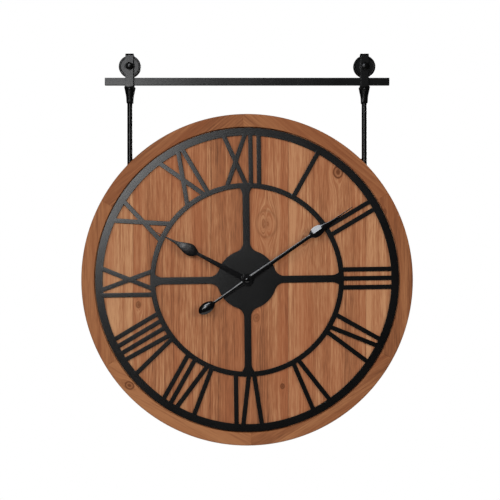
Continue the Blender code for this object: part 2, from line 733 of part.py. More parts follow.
def spoke_outlines(turn):
    """One spoke with its fillets at the hub and its flare at the inner ring."""
    half = SPOKE_WIDTH / 2
    bar = rectangle(-half, half, HUB_RADIUS / 2, RING_OUTER_RADIUS - SPOKE_OVERLAP)
    centre_x = half + SPOKE_FILLET
    centre_r = math.sqrt((HUB_RADIUS + SPOKE_FILLET) ** 2 - centre_x**2)
    meet = math.degrees(math.atan2(centre_x, centre_r))
    right = arc(SPOKE_FILLET, 270, 180 + meet, 5, (centre_x, centre_r))
    fillet = right + [(-x, z) for x, z in reversed(right)]
    foot = RING_INNER_RADIUS - FLARE_LENGTH
    flare = [(half, foot), (half + FLARE_STEP, foot + FLARE_OVERLAP)]
    flare.append((FLARE_HALF_WIDTH, RING_INNER_RADIUS))
    flare.append((FLARE_HALF_WIDTH, RING_INNER_RADIUS + FLARE_OVERLAP))
    flare = flare + [(-x, z) for x, z in reversed(flare)]
    return [turned(outline, turn) for outline in (bar, fillet, flare)]


def ring_parts(outer, inner, sides):
    """A ring as short quads, because an outline can't hold a hole of its own."""
    rim = circle(outer, sides)
    bore = circle(inner, sides)
    return [[bore[i - 1], rim[i - 1], rim[i], bore[i]] for i in range(sides)]


def make_dial(materials):
    outlines = ring_parts(DIAL_RADIUS, CHAPTER_INNER_RADIUS, 60)
    outlines += ring_parts(RING_OUTER_RADIUS, RING_INNER_RADIUS, 48)
    outlines.append(circle(HUB_RADIUS, 32))
    for hour in NUMERALS:
        outlines += numeral_strokes(hour)
    for quarter in range(4):
        outlines += spoke_outlines(90 * quarter + DIAL_TURN)
    back = HEAD_BACK_Y - PLANK_THICKNESS - GAP
    flat_plate(
        "dial_plate",
        outlines,
        back - DIAL_THICKNESS,
        back,
        materials["dial_black"],
        [circle(BUSHING_RADIUS + 2 * GAP, 20)],
        (0, HEAD_Z),
    )


def blade(stations, turn):
    """A blade of varying half width, pointing at a clock face angle."""
    side = [(half * MM, reach * MM) for reach, half in stations]
    return turned(side + [(-x, z) for x, z in reversed(side)], turn)


def make_hands(materials):
    black = materials["hand_black"]
    centre = (0, HEAD_Z)
    flat_plate(
        "hour_hand",
        [circle(HOUR_BOSS_RADIUS, 24), blade(HOUR_BLADE, HOUR_HAND_TURN)],
        HOUR_HAND_BACK_Y - HAND_THICKNESS,
        HOUR_HAND_BACK_Y,
        black,
        [circle(HOUR_TUBE_RADIUS + GAP, 20)],
        centre,
    )
    flat_plate(
        "minute_hand",
        [
            circle(MINUTE_BOSS_RADIUS, 24),
            blade(MINUTE_BLADE, MINUTE_HAND_TURN),
            blade(MINUTE_TAIL, MINUTE_HAND_TURN + 180),
        ],
        MINUTE_HAND_BACK_Y - HAND_THICKNESS,
        MINUTE_HAND_BACK_Y,
        black,
        [circle(ARBOR_RADIUS + GAP, 16)],
        centre,
    )
    make_cap_nut(black)


def make_cap_nut(finish):
    """A domed cap over the end of the arbor, turned about Y with a blind bore."""
    back = MINUTE_HAND_BACK_Y - HAND_THICKNESS - GAP
    height, radius, bore = CAP_NUT_HEIGHT, CAP_NUT_RADIUS, ARBOR_RADIUS + GAP
    bore_depth = back - ARBOR_FRONT_Y + GAP
    dome = [(radius * math.sin(a), 0.5 * height + 0.5 * height * math.cos(a)) for a in dome_turns(6)]
    profile = dome + [(radius, 0), (bore, 0), (bore, bore_depth), (0, bore_depth)]
    mesh = bpy.data.meshes.new("hand_cap_nut")
    mesh.from_pydata([(r, 0, z) for r, z in profile], [(i, i + 1) for i in range(len(profile) - 1)], [])
    nut = add_object("hand_cap_nut", mesh, finish, (0, back, HEAD_Z))
    nut.rotation_euler = (math.radians(90), 0, 0)
    screw = nut.modifiers.new("turn", "SCREW")
    screw.steps = 16
    screw.render_steps = 16
    screw.use_merge_vertices = True
    screw.merge_threshold = 0.00001


def dome_turns(steps):
    return [math.radians(90 * i / steps) for i in range(steps + 1)]


def depth_y(depth):
    """World Y of a depth in mm behind the front of the movement's case."""
    return CASE_FRONT_Y + depth * MM


def polar(start, degrees, reach):
    """A point at a distance from another, by degrees anticlockwise from +X as seen from the front."""
    turn = math.radians(degrees)
    return (start[0] + reach * math.cos(turn), start[1] + reach * math.sin(turn))


def centre_distance(first, second):
    return (first[0] + second[0]) * first[1] * MM / 2


def meshing_phase(phase, driver, driven, direction):
    """Where the driven wheel's first tooth points so that it is in mesh with its driver."""
    pitch = 360 / driver[0]
    past = (phase - direction) % pitch
    return direction + 180 - past * driver[0] / driven[0] + 180 / driven[0]


def gear_outline(gear, phase):
    """Pointed teeth: each has a flank up from the root circle to its tip and down again."""
    teeth, module = gear[0], gear[1] * MM
    root = teeth * module / 2 - 1.15 * module
    tip = teeth * module / 2 + 0.75 * module
    half = 0.38 * 360 / teeth
    points = []
    for i in range(teeth):
        middle = phase + 360 * i / teeth
        for reach, turn in ((root, middle - half), (tip, middle), (root, middle + half)):
            points.append(polar((0, 0), turn, reach))
    return points


def gear_plate(name, gear, phase, centre, finish):
    outline = gear_outline(gear, phase)
    return flat_plate(name, [outline], depth_y(gear[2]), depth_y(gear[3]), finish, centre=centre)


def train_layout():
    """Centre and tooth phase of every wheel, followed outward from the centre arbor."""
    centre = (0, HEAD_Z)
    motion = polar(centre, MINUTE_WHEEL_ANGLE, centre_distance(CANNON_PINION, MINUTE_WHEEL))
    knob = polar(motion, KNOB_ANGLE, centre_distance(MINUTE_WHEEL, KNOB_PINION))
    third = polar(centre, THIRD_ANGLE, centre_distance(CENTRE_WHEEL, THIRD_PINION))
    fourth = polar(third, FOURTH_ANGLE, centre_distance(THIRD_WHEEL, FOURTH_PINION))
    fifth = polar(fourth, FIFTH_ANGLE, centre_distance(FOURTH_WHEEL, FIFTH_PINION))
    rotor = polar(fifth, ROTOR_ANGLE, centre_distance(FIFTH_WHEEL, ROTOR_PINION))
    motion_phase = meshing_phase(0, CANNON_PINION, MINUTE_WHEEL, MINUTE_WHEEL_ANGLE)
    hour_direction = MINUTE_WHEEL_ANGLE + 180
    return {
        "centre": (centre, 0),
        "motion": (motion, motion_phase),
        "hour": (centre, meshing_phase(0, MINUTE_PINION, HOUR_WHEEL, hour_direction)),
        "knob": (knob, meshing_phase(motion_phase, MINUTE_WHEEL, KNOB_PINION, KNOB_ANGLE)),
        "third": (third, meshing_phase(0, CENTRE_WHEEL, THIRD_PINION, THIRD_ANGLE)),
        "fourth": (fourth, meshing_phase(0, THIRD_WHEEL, FOURTH_PINION, FOURTH_ANGLE)),
        "fifth": (fifth, meshing_phase(0, FOURTH_WHEEL, FIFTH_PINION, FIFTH_ANGLE)),
        "rotor": (rotor, meshing_phase(0, FIFTH_WHEEL, ROTOR_PINION, ROTOR_ANGLE)),
    }


def make_centre_arbor(layout, materials):
    """The arbor that carries the minute hand, with the centre wheel and the cannon pinion on it."""
    centre, phase = layout["centre"]
    brass = materials["brass"]
    back = depth_y(CENTRE_ARBOR_BACK_DEPTH)
    arbor = along_y("minute_arbor", ARBOR_RADIUS, ARBOR_FRONT_Y, back, centre, brass, 16)
    union(
        arbor,
        gear_plate("cannon_pinion", CANNON_PINION, phase, centre, brass),
        gear_plate("centre_wheel", CENTRE_WHEEL, phase, centre, brass),
    )


def make_hour_wheel(layout, materials):
    centre, phase = layout["hour"]
    brass = materials["brass"]
    wheel = gear_plate("hour_wheel", HOUR_WHEEL, phase, centre, brass)
    tube_back = depth_y(HOUR_TUBE_BACK_DEPTH)
    union(wheel, along_y("hour_tube", HOUR_TUBE_RADIUS, HOUR_TUBE_FRONT_Y, tube_back, centre, brass))
    front, back = HOUR_TUBE_FRONT_Y - MM, depth_y(HOUR_TUBE_BORE_DEPTH)
    cut(wheel, along_y("hour_tube_bore", HOUR_TUBE_BORE, front, back, centre, brass))


def make_motion_wheel(layout, materials):
    """The wheel between the cannon pinion and the hour wheel, loose on the case's post."""
    centre, phase = layout["motion"]
    plastic = materials["white_plastic"]
    wheel = gear_plate("motion_wheel", MINUTE_WHEEL, phase, centre, plastic)
    front, back = [depth_y(depth) for depth in MOTION_HUB_DEPTHS]
    hub = along_y("motion_hub", MOTION_HUB_RADIUS, front, back, centre, plastic, 12)
    union(wheel, hub, gear_plate("motion_pinion", MINUTE_PINION, 0, centre, plastic))
    front, back = [depth_y(depth) for depth in MOTION_BORE_DEPTHS]
    cut(wheel, along_y("motion_bore", MOTION_BORE_RADIUS, front, back, centre, plastic, 12))


def make_train_wheel(name, pinion, wheel, place, materials):
    """A thin steel arbor with its pinion and its wheel."""
    centre, phase = place
    brass = materials["brass"]
    front, back = [depth_y(depth) for depth in THIN_ARBOR_DEPTHS]
    arbor = along_y(name, THIN_ARBOR_RADIUS, front, back, centre, brass, 8)
    union(
        arbor,
        gear_plate(f"{name}_pinion", pinion, phase, centre, brass),
        gear_plate(f"{name}_gear", wheel, 0, centre, brass),
    )


def make_rotor(layout, materials):
    centre, phase = layout["rotor"]
    dark = materials["black_plastic"]
    front, back = [depth_y(depth) for depth in THIN_ARBOR_DEPTHS]
    arbor = along_y("stepper_rotor", THIN_ARBOR_RADIUS, front, back, centre, dark, 8)
    front, back = [depth_y(depth) for depth in MAGNET_DEPTHS]
    magnet = along_y("rotor_magnet", MAGNET_RADIUS, front, back, centre, dark, 16)
    union(arbor, gear_plate("rotor_pinion", ROTOR_PINION, phase, centre, dark), magnet)


def make_setting_knob(layout, materials):
    """The knob on the back of the case, whose shaft reaches the motion wheel."""
    centre, phase = layout["knob"]
    plastic = materials["white_plastic"]
    front, back = [depth_y(depth) for depth in KNOB_DEPTHS]
    knob = along_y("setting_knob", KNOB_RADIUS, front, back, centre, plastic, 32)
    front, back = [depth_y(depth) for depth in KNOB_SHAFT_DEPTHS]
    shaft = along_y("knob_shaft", KNOB_SHAFT_RADIUS, front, back, centre, plastic, 12)
    union(knob, shaft, gear_plate("knob_pinion", KNOB_PINION, phase, centre, plastic))


def rounded_square(half, radius):
    points = []
    for quarter, (sx, sz) in enumerate(((1, 1), (1, -1), (-1, -1), (-1, 1))):
        centre = (sx * (half - radius), sz * (half - radius))
        points += arc(radius, 90 * quarter, 90 * quarter + 90, 3, centre)
    return points


def make_case(layout, materials):
    """The moulded shell: wheel bay, battery bay, threaded bushing and the motion wheel's post."""
    dark = materials["black_plastic"]
    centre = (0, HEAD_Z)
    back = CASE_FRONT_Y + CASE_DEPTH
    outline = rounded_square(CASE_HALF, CASE_CORNER_RADIUS)
    case = flat_plate("movement_case", [outline], CASE_FRONT_Y, back, dark, centre=centre)
    inside = CASE_HALF - CASE_WALL
    floor = CASE_FRONT_Y + CASE_WALL
    wheel_low = (-inside, floor, HEAD_Z + BAY_WALL_HIGH)
    cut(case, box("wheel_bay", wheel_low, (inside, back + MM, HEAD_Z + inside), dark))
    battery_high = (inside, back + MM, HEAD_Z + BAY_WALL_LOW)
    cut(case, box("battery_bay", (-inside, floor, HEAD_Z - inside), battery_high, dark))
    root = depth_y(CASE_FLOOR_DEPTH)
    bushing = along_y("bushing", BUSHING_RADIUS, BUSHING_FRONT_Y, root, centre, dark)
    post_back = depth_y(MOTION_POST_DEPTH)
    spot = layout["motion"][0]
    post = along_y("motion_post", MOTION_POST_RADIUS, root, post_back, spot, dark, 10)
    union(case, bushing, post)
    bore_front = BUSHING_FRONT_Y - MM
    bore_back = depth_y(BUSHING_BORE_DEPTH)
    cut(case, along_y("bushing_bore", BUSHING_BORE, bore_front, bore_back, centre, dark))


def make_cover(layout, materials):
    inside = CASE_HALF - CASE_WALL - GAP
    low = BAY_WALL_HIGH + GAP
    knob_x, knob_z = layout["knob"][0]
    hole = circle(KNOB_HOLE_RADIUS, 16, (knob_x, knob_z - HEAD_Z))
    flat_plate(
        "movement_cover",
        [rectangle(-inside, inside, low, inside)],
        depth_y(COVER_FRONT_DEPTH),
        depth_y(COVER_BACK_DEPTH),
        materials["black_plastic"],
        [hole],
        (0, HEAD_Z),
    )


def make_fixings(materials):
    """The gasket behind the planks, and the washer and nut that clamp the dial from the front."""
    centre = (0, HEAD_Z)
    hole = circle(BUSHING_RADIUS + GAP, 16)
    gasket_front = HEAD_BACK_Y + GAP
    gasket_back = CASE_FRONT_Y - GAP
    gasket = circle(GASKET_RADIUS, 20)
    flat_plate("case_gasket", [gasket], gasket_front, gasket_back, materials["rubber"], [hole], centre)
    dial_front = HEAD_BACK_Y - PLANK_THICKNESS - GAP - DIAL_THICKNESS
    washer_front = dial_front - GAP - BUSHING_WASHER_THICKNESS
    brass = materials["brass"]
    washer = circle(BUSHING_WASHER_RADIUS, 20)
    flat_plate("bushing_washer", [washer], washer_front, dial_front - GAP, brass, [hole], centre)
    nut_back = washer_front - GAP
    nut_front = nut_back - BUSHING_NUT_HEIGHT
    nut = hexagon(BUSHING_NUT_FLATS)
    flat_plate("bushing_nut", [nut], nut_front, nut_back, brass, [hole], centre)


def make_stator(layout, materials):
    """A lamination with a ring round the rotor and a straight core through the coil."""
    x, z = layout["rotor"][0]
    z -= HEAD_Z
    core_z = COIL_Z - HEAD_Z
    half = STATOR_CORE_HALF
    left = STATOR_LEFT
    limb_left, limb_right = x + STATOR_LIMB[0], x + STATOR_LIMB[1]
    yoke_low, yoke_high = z + STATOR_YOKE[0], z + STATOR_YOKE[1]
    outlines = [
        circle(STATOR_RING_RADIUS, 28, (x, z)),
        rectangle(left, limb_right, core_z - half, core_z + half),
        rectangle(limb_left, limb_right, z + 2 * half, core_z),
        rectangle(left, left + half, yoke_low, core_z),
        rectangle(left, x, yoke_low, yoke_high),
    ]
    hole = [circle(STATOR_BORE_RADIUS, 24, (x, z))]
    front, back = [depth_y(depth) for depth in STATOR_DEPTHS]
    flat_plate("stator", outlines, front, back, materials["zinc_steel"], hole, (0, HEAD_Z))


def make_coil(materials):
    """A wound bobbin along X with a flange at each end, bored for the core."""
    y = depth_y(COIL_DEPTH)
    left, right = COIL_SPAN
    copper = materials["copper_wire"]
    start, end = (left, y, COIL_Z), (right, y, COIL_Z)
    coil = cylinder("drive_coil", COIL_RADIUS, start, end, copper, 20)
    flange = COIL_FLANGE_THICKNESS
    for name, low in (("coil_flange_left", left), ("coil_flange_right", right - flange)):
        start, end = (low, y, COIL_Z), (low + flange, y, COIL_Z)
        union(coil, cylinder(name, COIL_FLANGE_RADIUS, start, end, copper, 20))
    start, end = (left - MM, y, COIL_Z), (right + MM, y, COIL_Z)
    cut(coil, cylinder("coil_bore", COIL_BORE_RADIUS, start, end, copper, 16))


def make_circuit(materials):
    """The board, with its sealed chip, at the right of the wheel bay."""
    front, back = [depth_y(depth) for depth in BOARD_DEPTHS]
    low = (BOARD_X[0], front, BOARD_Z[0])
    high = (BOARD_X[1], back, BOARD_Z[1])
    board = box("circuit_board", low, high, materials["board_green"])
    front, back = [depth_y(depth) for depth in CHIP_DEPTHS]
    union(board, along_y("chip", CHIP_RADIUS, front, back, CHIP_SPOT, materials["rubber"]))


def make_battery(materials):
    """One AA cell along X, turned with its raised positive end at +X."""
    r, half = BATTERY_RADIUS, BATTERY_X_HALF
    nub, nub_height, edge = BATTERY_NUB_RADIUS, BATTERY_NUB_HEIGHT, BATTERY_EDGE
    profile = [(0, half), (nub, half), (nub, half - nub_height), (r - edge, half - nub_height)]
    profile += [(r, half - nub_height - edge), (r, edge - half), (r - edge, -half), (0, -half)]
    mesh = bpy.data.meshes.new("battery")
    mesh.from_pydata([(x, 0, z) for x, z in profile], [(i, i + 1) for i in range(len(profile) - 1)], [])
    cell = add_object("battery", mesh, materials["battery_wrap"], (0, depth_y(BATTERY_DEPTH), BATTERY_Z))
    cell.rotation_euler = (0, math.radians(90), 0)
    screw = cell.modifiers.new("turn", "SCREW")
    screw.steps = 24
    screw.render_steps = 24
    screw.use_merge_vertices = True
    screw.merge_threshold = 0.00001


def make_contacts(materials):
    """A pressed leaf at each end of the battery bay, with a round boss that reaches to the cell's end."""
    y = depth_y(BATTERY_DEPTH)
    for side, name in ((1, "positive"), (-1, "negative")):
        cell_end = side * (BATTERY_X_HALF + GAP)
        wall = side * (CASE_HALF - CASE_WALL - GAP)
        leaf_face = wall - side * CONTACT_THICKNESS
        leaf = box(
            f"contact_{name}",
            (min(wall, leaf_face), depth_y(CONTACT_LOW), BATTERY_Z - CONTACT_HALF_WIDTH),
            (max(wall, leaf_face), depth_y(CONTACT_HIGH), BATTERY_Z + CONTACT_HALF_WIDTH),
            materials["zinc_steel"],
        )
        buried = (wall + leaf_face) / 2
        ends = sorted((cell_end, buried))
        start, end = (ends[0], y, BATTERY_Z), (ends[1], y, BATTERY_Z)
        boss = f"contact_boss_{name}"
        union(leaf, cylinder(boss, CONTACT_BOSS_RADIUS, start, end, materials["zinc_steel"]))


def make_movement(materials):
    layout = train_layout()
    make_case(layout, materials)
    make_cover(layout, materials)
    make_fixings(materials)
    make_centre_arbor(layout, materials)
    make_hour_wheel(layout, materials)
    make_motion_wheel(layout, materials)
    make_train_wheel("third_wheel", THIRD_PINION, THIRD_WHEEL, layout["third"], materials)
    make_train_wheel("fourth_wheel", FOURTH_PINION, FOURTH_WHEEL, layout["fourth"], materials)
    make_train_wheel("fifth_wheel", FIFTH_PINION, FIFTH_WHEEL, layout["fifth"], materials)
    make_rotor(layout, materials)
    make_setting_knob(layout, materials)
    make_stator(layout, materials)
    make_coil(materials)
    make_circuit(materials)
    make_battery(materials)
    make_contacts(materials)


def main():
    clear_scene()
    make_collections()
    materials = make_materials()
    make_rail(materials)
    make_wall_bar(materials)
    make_standoffs(materials)
    make_hangers(materials)
    make_brackets(materials)
    make_rim(materials)
    make_planks(materials)
    make_dial(materials)
    make_hands(materials)
    make_movement(materials)


main()
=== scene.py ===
import math

import bmesh
import bpy
import numpy as np
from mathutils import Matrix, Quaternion, Vector
from mathutils.geometry import delaunay_2d_cdt


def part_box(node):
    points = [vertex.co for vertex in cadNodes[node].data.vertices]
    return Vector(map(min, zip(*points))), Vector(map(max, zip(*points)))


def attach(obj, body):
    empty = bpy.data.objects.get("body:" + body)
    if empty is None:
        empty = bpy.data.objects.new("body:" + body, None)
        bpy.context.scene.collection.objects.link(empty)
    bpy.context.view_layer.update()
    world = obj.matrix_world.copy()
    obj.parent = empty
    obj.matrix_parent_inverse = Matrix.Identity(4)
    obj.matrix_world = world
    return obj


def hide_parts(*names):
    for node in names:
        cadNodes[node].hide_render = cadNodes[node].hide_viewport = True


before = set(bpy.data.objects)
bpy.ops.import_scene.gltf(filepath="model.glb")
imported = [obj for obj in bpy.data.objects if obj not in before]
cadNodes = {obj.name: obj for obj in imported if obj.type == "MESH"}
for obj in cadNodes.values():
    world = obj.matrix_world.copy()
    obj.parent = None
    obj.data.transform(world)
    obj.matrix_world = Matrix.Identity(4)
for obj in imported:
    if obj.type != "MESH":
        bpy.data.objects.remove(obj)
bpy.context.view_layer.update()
mm = 0.001
nearAxis = 0.05 * mm  # where a shape turned round an axis starts from it


# shaping: every surface below is worked out as whole numpy arrays


def cadPoints(*names):
    # The vertices of some CAD nodes, one row each.
    found = []
    for name in names:
        mesh = cadNodes[name].data
        flat = np.empty(len(mesh.vertices) * 3)
        mesh.vertices.foreach_get("co", flat)
        found.append(flat.reshape(-1, 3))
    return np.concatenate(found)


def gridFaces(rows, columns, wrapRows=False, wrapColumns=False):
    # Quads between neighbours of a rows x columns grid; wrapping joins the last line to the first.
    i, j = np.meshgrid(
        np.arange(rows if wrapRows else rows - 1),
        np.arange(columns if wrapColumns else columns - 1),
        indexing="ij",
    )
    down, across = (i + 1) % rows, (j + 1) % columns
    corners = (i * columns + j, i * columns + across, down * columns + across, down * columns + j)
    return np.stack(corners, axis=-1).reshape(-1, 4).tolist()


def easedCorners(outline, reach, steps=4):
    # Each corner P of a closed outline, between neighbours A and B, becomes the curve
    # (1-t)^2 a + 2t(1-t) P + t^2 b, where a and b lie up to reach from P.
    points = np.asarray(outline, float)
    before, after = np.roll(points, 1, 0) - points, np.roll(points, -1, 0) - points
    longBefore = np.linalg.norm(before, axis=1, keepdims=True)
    longAfter = np.linalg.norm(after, axis=1, keepdims=True)
    reach = np.broadcast_to(np.asarray(reach, float).reshape(-1, 1), longBefore.shape)
    a = points + before / longBefore * np.minimum(reach, longBefore * 0.48)
    b = points + after / longAfter * np.minimum(reach, longAfter * 0.48)
    t = np.linspace(0, 1, steps + 1)[None, :, None]
    curves = (1 - t) ** 2 * a[:, None] + 2 * t * (1 - t) * points[:, None] + t**2 * b[:, None]
    return curves.reshape(-1, points.shape[1])


def turnedShell(profile, centre, steps=64, axis=1, ring=False):
    # Each (radius, place) of the profile goes round the axis: centre + radius (cos a, sin a), and place
    # along it.
    profile = np.asarray(profile, float)
    a = np.linspace(0, 2 * math.pi, steps, endpoint=False)
    points = np.empty((len(profile), steps, 3))
    first, second = [k for k in range(3) if k != axis]
    points[..., first] = centre[first] + profile[:, :1] * np.cos(a)
    points[..., second] = centre[second] + profile[:, :1] * np.sin(a)
    points[..., axis] = profile[:, 1:]
    return points.reshape(-1, 3), gridFaces(len(profile), steps, ring, True)


def loftedShell(loops):
    # One closed loop of points per stage, joined stage to stage, with a flat face over each end.
    loops = np.asarray(loops, float)
    stages, around = loops.shape[:2]
    faces = gridFaces(stages, around, False, True)
    last = (stages - 1) * around
    ends = [list(range(around))[::-1], list(range(last, last + around))]
    return loops.reshape(-1, 3), faces + ends


def smoothThrough(stations, count):
    # Cubic curve through (place, value) stations. The slope at one is the harmonic mean of its two
    # neighbours', or none at a peak or a dip, so the curve never overshoots.
    stations = np.asarray(stations, float)
    x, y = stations[:, 0], stations[:, 1]
    rise = np.diff(y) / np.diff(x)
    same = rise[:-1] * rise[1:] > 0
    mean = 2 * rise[:-1] * rise[1:] / np.where(same, rise[:-1] + rise[1:], 1)
    slope = np.concatenate([rise[:1], np.where(same, mean, 0), rise[-1:]])
    at = np.linspace(x[0], x[-1], count)
    k = np.clip(np.searchsorted(x, at, "right") - 1, 0, len(x) - 2)
    gap = x[k + 1] - x[k]
    t = (at - x[k]) / gap
    value = (
        (2 * t**3 - 3 * t**2 + 1) * y[k]
        + (t**3 - 2 * t**2 + t) * gap * slope[k]
        + (3 * t**2 - 2 * t**3) * y[k + 1]
        + (t**3 - t**2) * gap * slope[k + 1]
    )
    return at, value


def ringShell(centre, bore, radius, front, back, ease, steps=64, cornerSteps=3):
    # A rectangle's section with its corners eased, turned round y.
    corners = [(bore, front), (radius, front), (radius, back), (bore, back)]
    return turnedShell(easedCorners(corners, ease, cornerSteps), centre, steps, ring=True)


def bothSides(half, front, back):
    # (size, depth) stages measured in from the front face, then the same from the back face.
    there = [(size, back - depth) for size, depth in half[::-1]]
    return [(size, front + depth) for size, depth in half] + there


def roundedEdge(edge, front, back):
    # An inset of edge (1 - sin a) at a depth of edge (1 - cos a) from each face.
    half = [(edge * (1 - math.sin(a)), edge * (1 - math.cos(a))) for a in np.linspace(0, math.pi / 2, 4)]
    return bothSides(half, front, back)


# pieces: a mesh becomes an object that rides its body in place of its CAD node


def linkedPiece(name, mesh, body, slotName, node, sharpFrom):
    mesh.materials.clear()
    mesh.materials.append(finishes[slotName])
    mesh.shade_smooth()
    mesh.set_sharp_from_angle(angle=math.radians(sharpFrom))
    piece = bpy.data.objects.new(name, mesh)
    bpy.context.scene.collection.objects.link(piece)
    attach(piece, body)
    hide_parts(node)
    return piece


def makePiece(name, shells, body, slotName, node, sharpFrom=35):
    # Joins closed shells in one mesh, merges doubled points at seams and poles, and turns faces outwards.
    points, faces = [], []
    for shellPoints, shellFaces in shells:
        first = sum(map(len, points))
        points.append(np.asarray(shellPoints, float))
        faces.extend([[index + first for index in face] for face in shellFaces])
    mesh = bpy.data.meshes.new(name)
    mesh.from_pydata(np.concatenate(points), [], faces)
    form = bmesh.new()
    form.from_mesh(mesh)
    bmesh.ops.remove_doubles(form, verts=form.verts, dist=1e-7)
    bmesh.ops.recalc_face_normals(form, faces=form.faces)
    form.to_mesh(mesh)
    form.free()
    piece = linkedPiece(name, mesh, body, slotName, node, sharpFrom)
    flats = piece.modifiers.new("trueFlats", "WEIGHTED_NORMAL")
    flats.keep_sharp = True
    return piece


def softenedCopy(name, body, slotName, node, edge):
    # The CAD shape with its loose triangles merged, its flats made whole and its edges broken.
    mesh = cadNodes[node].data.copy()
    mesh.name = name
    form = bmesh.new()
    form.from_mesh(mesh)
    bmesh.ops.remove_doubles(form, verts=form.verts, dist=2e-6)
    bmesh.ops.dissolve_limit(form, angle_limit=0.02, verts=form.verts, edges=form.edges)
    form.to_mesh(mesh)
    form.free()
    piece = linkedPiece(name, mesh, body, slotName, node, 30)
    bevel = piece.modifiers.new("brokenEdge", "BEVEL")
    bevel.width = edge
    bevel.segments = 2
    bevel.limit_method = "ANGLE"
    bevel.angle_limit = math.radians(40)
    return piece


def setBoardPlace(mesh, boardPlace, boardTone):
    # Each vertex carries its place in its own board and that board's tone, for the wood material to read.
    flat = np.empty(len(mesh.vertices) * 3)
    mesh.vertices.foreach_get("co", flat)
    place = mesh.attributes.new("boardPlace", "FLOAT_VECTOR", "POINT")
    place.data.foreach_set("vector", boardPlace(flat.reshape(-1, 3)).astype(np.float32).ravel())
    tone = mesh.attributes.new("boardTone", "FLOAT", "POINT")
    tone.data.foreach_set("value", np.full(len(mesh.vertices), boardTone, np.float32))


# node materials


def linearColour(hexText):
    share = np.array([int(hexText[i : i + 2], 16) for i in (1, 3, 5)]) / 255
    curve = np.where(share <= 0.04045, share / 12.92, ((share + 0.055) / 1.055) ** 2.4)
    return (*curve.tolist(), 1.0)


def linkInto(tree, node, links):
    # A source given as a node stands for its first output.
    for socket, source in dict(links).items():
        tree.links.new(getattr(source, "outputs", [source])[0], node.inputs[socket])


def addNode(tree, kind, values=(), links=(), stops=(), **settings):
    # One node with its settings, its unlinked values, its links and, on a ramp, its (place, colour) stops.
    node = tree.nodes.new("ShaderNode" + kind)
    for name, value in settings.items():
        setattr(node, name, value)
    for socket, value in dict(values).items():
        node.inputs[socket].default_value = value
    linkInto(tree, node, links)
    for i, (place, colour) in enumerate(stops):
        stop = node.color_ramp.elements[i] if i < 2 else node.color_ramp.elements.new(place)
        stop.position = place
        stop.color = colour
    return node


def newMaterial(name, **sockets):
    # A named material with its shader's even values set on the shader itself.
    material = bpy.data.materials.new(name)
    material.use_nodes = True
    shader = material.node_tree.nodes["Principled BSDF"]
    for socket, value in sockets.items():
        shader.inputs[socket.replace("_", " ")].default_value = value
    return material, material.node_tree, shader


# lengths in millimetres
woodLook = {
    "boards": {
        "light": "#B98861", "middle": "#98613F", "dark": "#6A4028", "warm": "#985634", "roughness": 0.70,
        "wander": 12, "ringWidth": 3.2, "streakWidth": 17, "shares": (0.42, 0.54, 0.40), "spread": 0.18,
    },
    "rim": {
        "light": "#A06B45", "middle": "#804E2F", "dark": "#54301B", "warm": "#834A29", "roughness": 0.68,
        "wander": 7, "ringWidth": 2.8, "streakWidth": 11, "shares": (0.40, 0.45, 0.36), "spread": 0.19,
    },
}
# a knot's reach into the grain and its core are shares of its size, long and oval squash it along the grain,
# and its bark ring is so many millimetres wide and a share of its own radius more
knotLook = {
    "colour": "#5E3218", "long": 0.42, "oval": 0.78, "pushFrom": 0.2, "pushTo": 4.2, "push": 1.9,
    "core": (0.35, 1.15), "barkWidth": 1.9, "barkGrowth": 0.08,
}


def roundKnot(tree, grain, along, knot):
    # Pushes the grain coordinate away from the knot, less with distance, and shades its core and its bark
    # ring. Returns the pushed coordinate and the shade.
    knotX, knotZ, size, depth, bark = knot
    look = knotLook
    dx = addNode(tree, "Math", operation="SUBTRACT", values={1: knotX}, links={0: grain})
    dz = addNode(tree, "Math", operation="SUBTRACT", values={1: knotZ}, links={0: along})
    away = addNode(tree, "CombineXYZ", links={0: dx, 1: dz})
    shape = {1: (1, look["long"], 0)}
    squashed = addNode(tree, "VectorMath", operation="MULTIPLY", values=shape, links={0: away})
    reach = addNode(tree, "VectorMath", operation="LENGTH", links={0: squashed}).outputs["Value"]
    near, far = look["pushFrom"] * size, look["pushTo"] * size
    fade = addNode(
        tree, "MapRange", interpolation_type="SMOOTHERSTEP",
        values={"From Min": near, "From Max": far, "To Min": 1, "To Max": 0}, links={"Value": reach},
    )
    side = addNode(tree, "Math", operation="DIVIDE", links={0: dx, 1: reach})
    push = addNode(tree, "Math", operation="MULTIPLY", links={0: side, 1: fade})
    pushed = addNode(
        tree, "Math", operation="MULTIPLY_ADD", values={1: -look["push"] * size}, links={0: push, 2: grain}
    )
    shape = {1: (1, look["oval"], 0)}
    oval = addNode(tree, "VectorMath", operation="MULTIPLY", values=shape, links={0: away})
    ovalReach = addNode(tree, "VectorMath", operation="LENGTH", links={0: oval}).outputs["Value"]
    near, far = look["core"][0] * size, look["core"][1] * size
    core = addNode(
        tree, "MapRange", interpolation_type="SMOOTHSTEP",
        values={"From Min": near, "From Max": far, "To Min": depth, "To Max": 0}, links={"Value": ovalReach},
    )
    offBark = addNode(tree, "Math", operation="SUBTRACT", values={1: bark}, links={0: ovalReach})
    offBark = addNode(tree, "Math", operation="ABSOLUTE", links={0: offBark})
    far = look["barkWidth"] + look["barkGrowth"] * bark
    ring = addNode(
        tree, "MapRange", interpolation_type="SMOOTHSTEP",
        values={"From Min": 0.3, "From Max": far, "To Min": depth, "To Max": 0}, links={"Value": offBark},
    )
    return pushed, addNode(tree, "Math", operation="MAXIMUM", links={0: core, 1: ring})


def streaks(tree, place, width, length, detail, roughness):
    # Soft noise stretched to streaks of about this width and length.
    scale = (1 / width, 1 / width, 1 / length)
    at = addNode(tree, "VectorMath", operation="MULTIPLY", values={1: scale}, links={0: place})
    values = {"Scale": 1, "Detail": detail, "Roughness": roughness}
    return addNode(tree, "TexNoise", values=values, links={"Vector": at})


